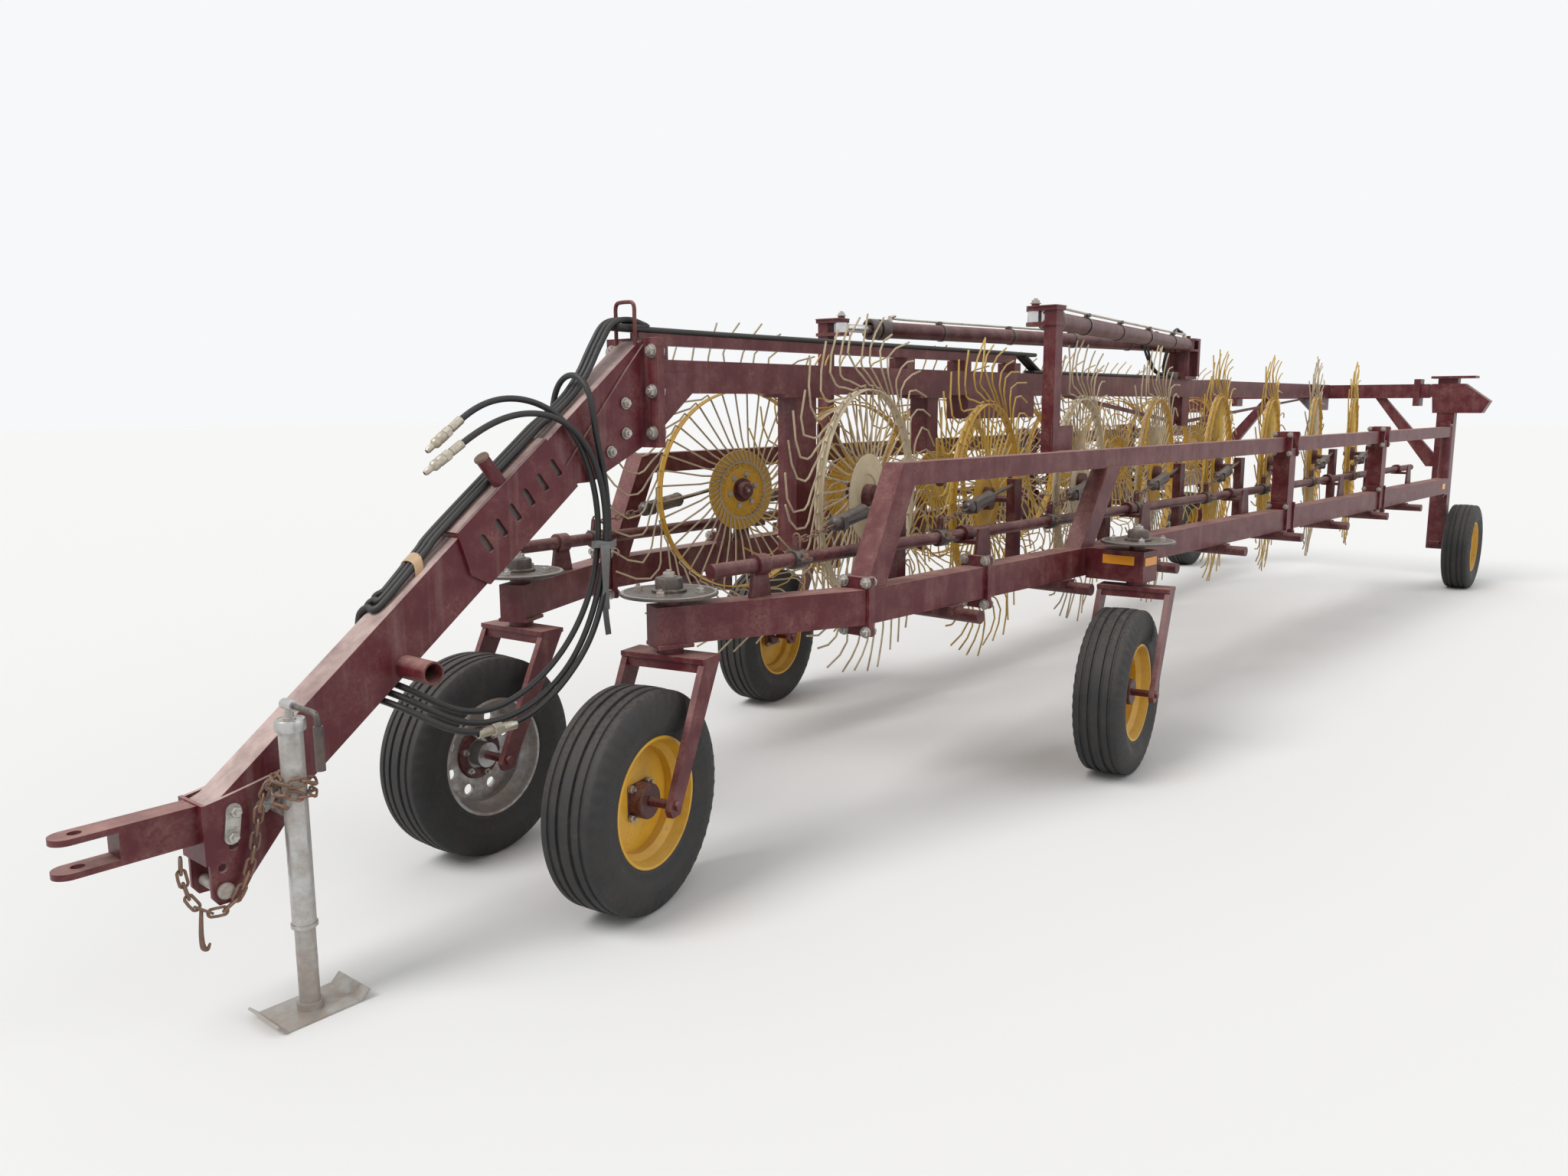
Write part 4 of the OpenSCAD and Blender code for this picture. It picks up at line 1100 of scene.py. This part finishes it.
def jackDetail(s):
    # cap ring, cross head, bent crank arm and its dark grip at the top of the jack's tube, whose middle is at x and y
    x, y = 9965, 152
    up = (0, 0, 1)
    steel = turnedAt([(0.0, 0.0), (0.016, 0.0), (0.016, 0.004), (0.011, 0.006), (0.011, 0.042), (0.0, 0.042)],
                     machinePath((x, y, 800)), up)
    steel += tube(machinePath([(x, 128, 838), (x, 150, 838), (x, 182, 838)]), 0.014, 16)
    arm = [(138, 838), (200, 838), (262, 838), (284, 835), (293, 824), (294, 800), (294, 692)]
    dark = tube(smoothPath(machinePath([(x, *q) for q in arm]), 40), s["arm"], 10)
    dark += tube(machinePath([(x, 294, 806), (x, 294, 750), (x, 294, 691)]), s["grip"], 14)
    o = piece("crank_detail", [(galvanised, "galvanised", steel), (darkSteel, "dark_steel", dark)], "chassis")
    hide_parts("jack_crank")
    rings = turnedAt([(0.0312, 0.0), (0.0385, 0.0), (0.0395, 0.003), (0.0395, 0.026), (0.037, 0.030), (0.0312, 0.030)],
                     machinePath((x, y, 771)), up, 32, True)
    rings += turnedAt(ring(0.0312, 0.0345, 0.0, 0.010), machinePath((x, y, 236)), up, 32, True)
    piece("jack_rings", [(galvanised, "galvanised", rings)], "chassis")


tonguePiece(tongueSet)
tongueFittings(tongueSet)
hoseStraps(strapSet)
safetyChain(chainSet)
jackDetail(crankSet)
print("tongue, chain and jack made")

# lift chains with their spring cans, clamps on the lift pipe, friction discs and the strips on the wings
liftSet = {"lever": (670, -135, 1120), "head": (-30, -225, 1235), "can": (0.235, 0.465), "pitch": 0.030,
           "wire": 0.0072, "first": 7452, "step": 871, "pipeZ": 1060}


def liftChains(side, s):
    ex, ey, ez = wingAxes(side)
    start, end = s["can"]
    can = [(0.0, 0.0), (0.012, 0.0), (0.018, 0.004), (0.026, 0.010), (0.029, 0.020), (0.0300, 0.030), (0.0285, 0.034),
           (0.0285, 0.196), (0.0305, 0.200), (0.0305, 0.212), (0.024, 0.222), (0.012, 0.230), (0.0, 0.230)]
    dark, chain = [], []
    for i in range(8):
        x = s["first"] - i * s["step"]
        (dx, y, z), (headX, headY, headZ) = s["lever"], s["head"]
        a, b = wingPoint(side, x + dx, y, z), wingPoint(side, x + headX, headY, headZ)
        way = (b - a) / np.linalg.norm(b - a)
        chain += chainLinks(np.array([a, a + way * start]), s["pitch"], s["wire"])
        dark += turnedAt(can, a + way * start, way)
        dark += tube([a + way * (end - 0.004), a + way * (end + 0.12), b - way * 0.02], 0.008, 10)
        dark += place(block((0.052, 0.066, 0.030), 0.004), a + way * (start + 0.045), *axesOf(way))
        # clamp with its two bolts round the lift pipe, and a shackle on the lever
        pipe = wingPoint(side, x + dx, y, s["pipeZ"])
        dark += turnedAt(collar(0.0242, 0.035, -0.030, 0.030), pipe, ex, 24, True)
        dark += place(block((0.014, 0.104, 0.056), 0.003), pipe, ez, ey, ex)
        for off in (-0.043, 0.043):
            chain += bolt(pipe + ey * off + ez * 0.007, ez, 0.019)
        chain += chainLinks(np.array([a - ez * 0.022, a + ez * 0.022]), 0.044, 0.009, 0.4)
    groups = [(darkSteel, "dark_steel", dark), (chainRust, "dark_steel", chain)]
    o = piece(f"lift_chains_{side}", groups, f"wing_{side}")
    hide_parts(f"spring_links_{side}")


discSet = {"r": 0.1612, "z": (0.9832, 0.9930), "cap": 0.049, "boltAt": 0.105}


def frictionDisc(which, side, s):
    # round cover over a caster's friction disc, with a worn band near its edge, a capped post and five bolts
    at = np.array(joints[f"{which}_caster_{side}_swivel"]["pos_m"]) * (1, 1, 0)
    r, (lo, hi), up = s["r"], s["z"], (0, 0, 1)
    parts = turnedAt([(0.036, lo), (r - 0.002, lo), (r, lo + 0.002), (r, hi - 0.002), (r - 0.003, hi), (0.043, hi)],
                     at, up, 64, True)
    parts += turnedAt([(0.0425, hi), (0.058, hi), (0.058, hi + 0.008), (0.046, hi + 0.012), (0.046, hi + 0.040),
                       (0.043, hi + 0.047), (0.020, hi + s["cap"]), (0.0, hi + s["cap"])], at, up, 40)
    worn = turnedAt(ring(r - 0.013, r - 0.004, hi, hi + 0.0012), at, up, 64, True)
    bolts = []
    for k in range(4):
        a = math.radians(90 * k + 30)
        bolts += bolt(at + (s["boltAt"] * math.cos(a), s["boltAt"] * math.sin(a), hi), up, 0.024)
    bolts += bolt(at + (0, 0, hi + s["cap"]), up, 0.036)
    groups = [(darkSteel, "dark_steel", parts), (galvanised, "dark_steel", worn), (zincBolt, "dark_steel", bolts)]
    piece(f"friction_disc_{which}_{side}", groups, f"{which}_caster_{side}")


# amber strips, as (length, width), middle on the wing in millimetres, and whether the length runs across the wing
stripSet = {"thick": 0.003, "ease": 0.0008,
            "strips": (((0.112, 0.036), (6295, 320.5, 905), False), ((0.150, 0.040), (6362.5, 200, 908), True),
                       ((0.090, 0.045), (180, 51.5, 890), False))}


def wingStrips(side, s):
    # two strips on the outrigger and one at the rear end
    ex, ey, ez = wingAxes(side)
    amber = []
    for size, at, across in s["strips"]:
        along = ey if across else ex
        amber += place(block((*size, s["thick"]), s["ease"]), wingPoint(side, *at), along, ez, np.cross(along, ez))
    piece(f"strips_{side}", [(amberStrip, "rim_yellow", amber)], f"wing_{side}")


for side in sideSign:
    liftChains(side, liftSet)
    wingStrips(side, stripSet)
    for which in ("front", "middle"):
        frictionDisc(which, side, discSet)
print("wing fittings made")

# opening cylinders: clamps, ports, steel line and short hoses
topSet = {"line": 0.006, "hose": 0.008, "collars": ((2.730, 2.790), (2.806, 2.856)), "ports": (0.110, 2.700),
          "clamps": (0.5, 1.1, 1.7, 2.3), "barrelR": 0.0422}


def openingCylinder(side, s):
    sign, inner = sideSign[side], s["barrelR"]
    base = np.array(joints[f"cylinder_{side}_swing"]["pos_m"])
    way = np.array(joints[f"cylinder_{side}_stroke"]["axis"])
    up = np.array([0, 0, 1.0])
    out = np.cross(up, way) * sign
    dark, steel = [], []
    for a, b in s["collars"]:
        dark += turnedAt(collar(inner, 0.054, a, b), base, way, 32, True)
    # ports with elbows, and the steel line along the barrel
    for x in s["ports"]:
        steel += turnedAt([(0.0, 0.040), (0.014, 0.040), (0.014, 0.058), (0.010, 0.060), (0.010, 0.072), (0.0, 0.072)],
                          base + way * x, up, 16)
    # the line's points: along the barrel, above it and out to its side
    line = [base + way * x + up * z + out * y for x, z, y in (
        (2.700, 0.066, 0), (2.660, 0.074, 0), (2.600, 0.060, 0.012), (1.4, 0.056, 0.018), (0.24, 0.060, 0.012),
        (0.17, 0.070, 0))]
    steel += tube(smoothPath(line, 60), s["line"], 8)
    for x in s["clamps"]:
        dark += turnedAt(ring(inner, 0.0462, -0.010, 0.010), base + way * x, way, 32, True)
        dark += place(block((0.026, 0.030, 0.018), 0.002), base + way * x + up * 0.052 + out * 0.016, way, out,
                      np.cross(way, out))
    piece(f"cylinder_fittings_{side}", [(darkSteel, "arm_red", dark), (fittingSteel, "arm_red", steel)],
          f"cylinder_barrel_{side}")
    # short hoses from the block on the beam, looping up to the first port and to the end of the steel line
    loops = []
    for k, (px, lift) in enumerate(((0.110, 0.030), (0.180, 0.020))):
        end = base + way * px + up * 0.064
        start = machinePath((3790, sign * (16 + 14 * k), 1775))
        mid = [start + (0.06, 0, 0.004), start + (0.15, 0.02 * sign, 0.06),
               (start + end) / 2 + (0.20, 0.03 * sign, 0.09), end + (0.10, 0.0, 0.045 - lift), end + (0.02, 0, 0.005)]
        loops += tube(smoothPath([start, *mid], 40), s["hose"], 10)
    o = piece(f"cylinder_hoses_{side}", [(hoseRubber, "tyre_black", loops)], None)
    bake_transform(o)


def mastCaps(side):
    # cap plate with its bolt on each mast
    ex, ey, ez = wingAxes(side)
    cap = place(block((0.092, 0.150, 0.006), 0.0015), wingPoint(side, 6456, -145, 2018.5), ex, ey, ez)
    pin = bolt(wingPoint(side, 6456, -200, 2033), ez, 0.034)
    piece(f"mast_cap_{side}", [(frameRed, "frame_red", cap), (zincBolt, "frame_red", pin)], f"wing_{side}")


for side in sideSign:
    openingCylinder(side, topSet)
    mastCaps(side)

# the block on the beam where the short hoses begin
hoseBlock = shifted(block((0.070, 0.110, 0.046), 0.003), machinePath((3755, 0, 1773)))
piece("hose_block", [(darkSteel, "dark_steel", hoseBlock)], "chassis")
print("cylinders dressed")
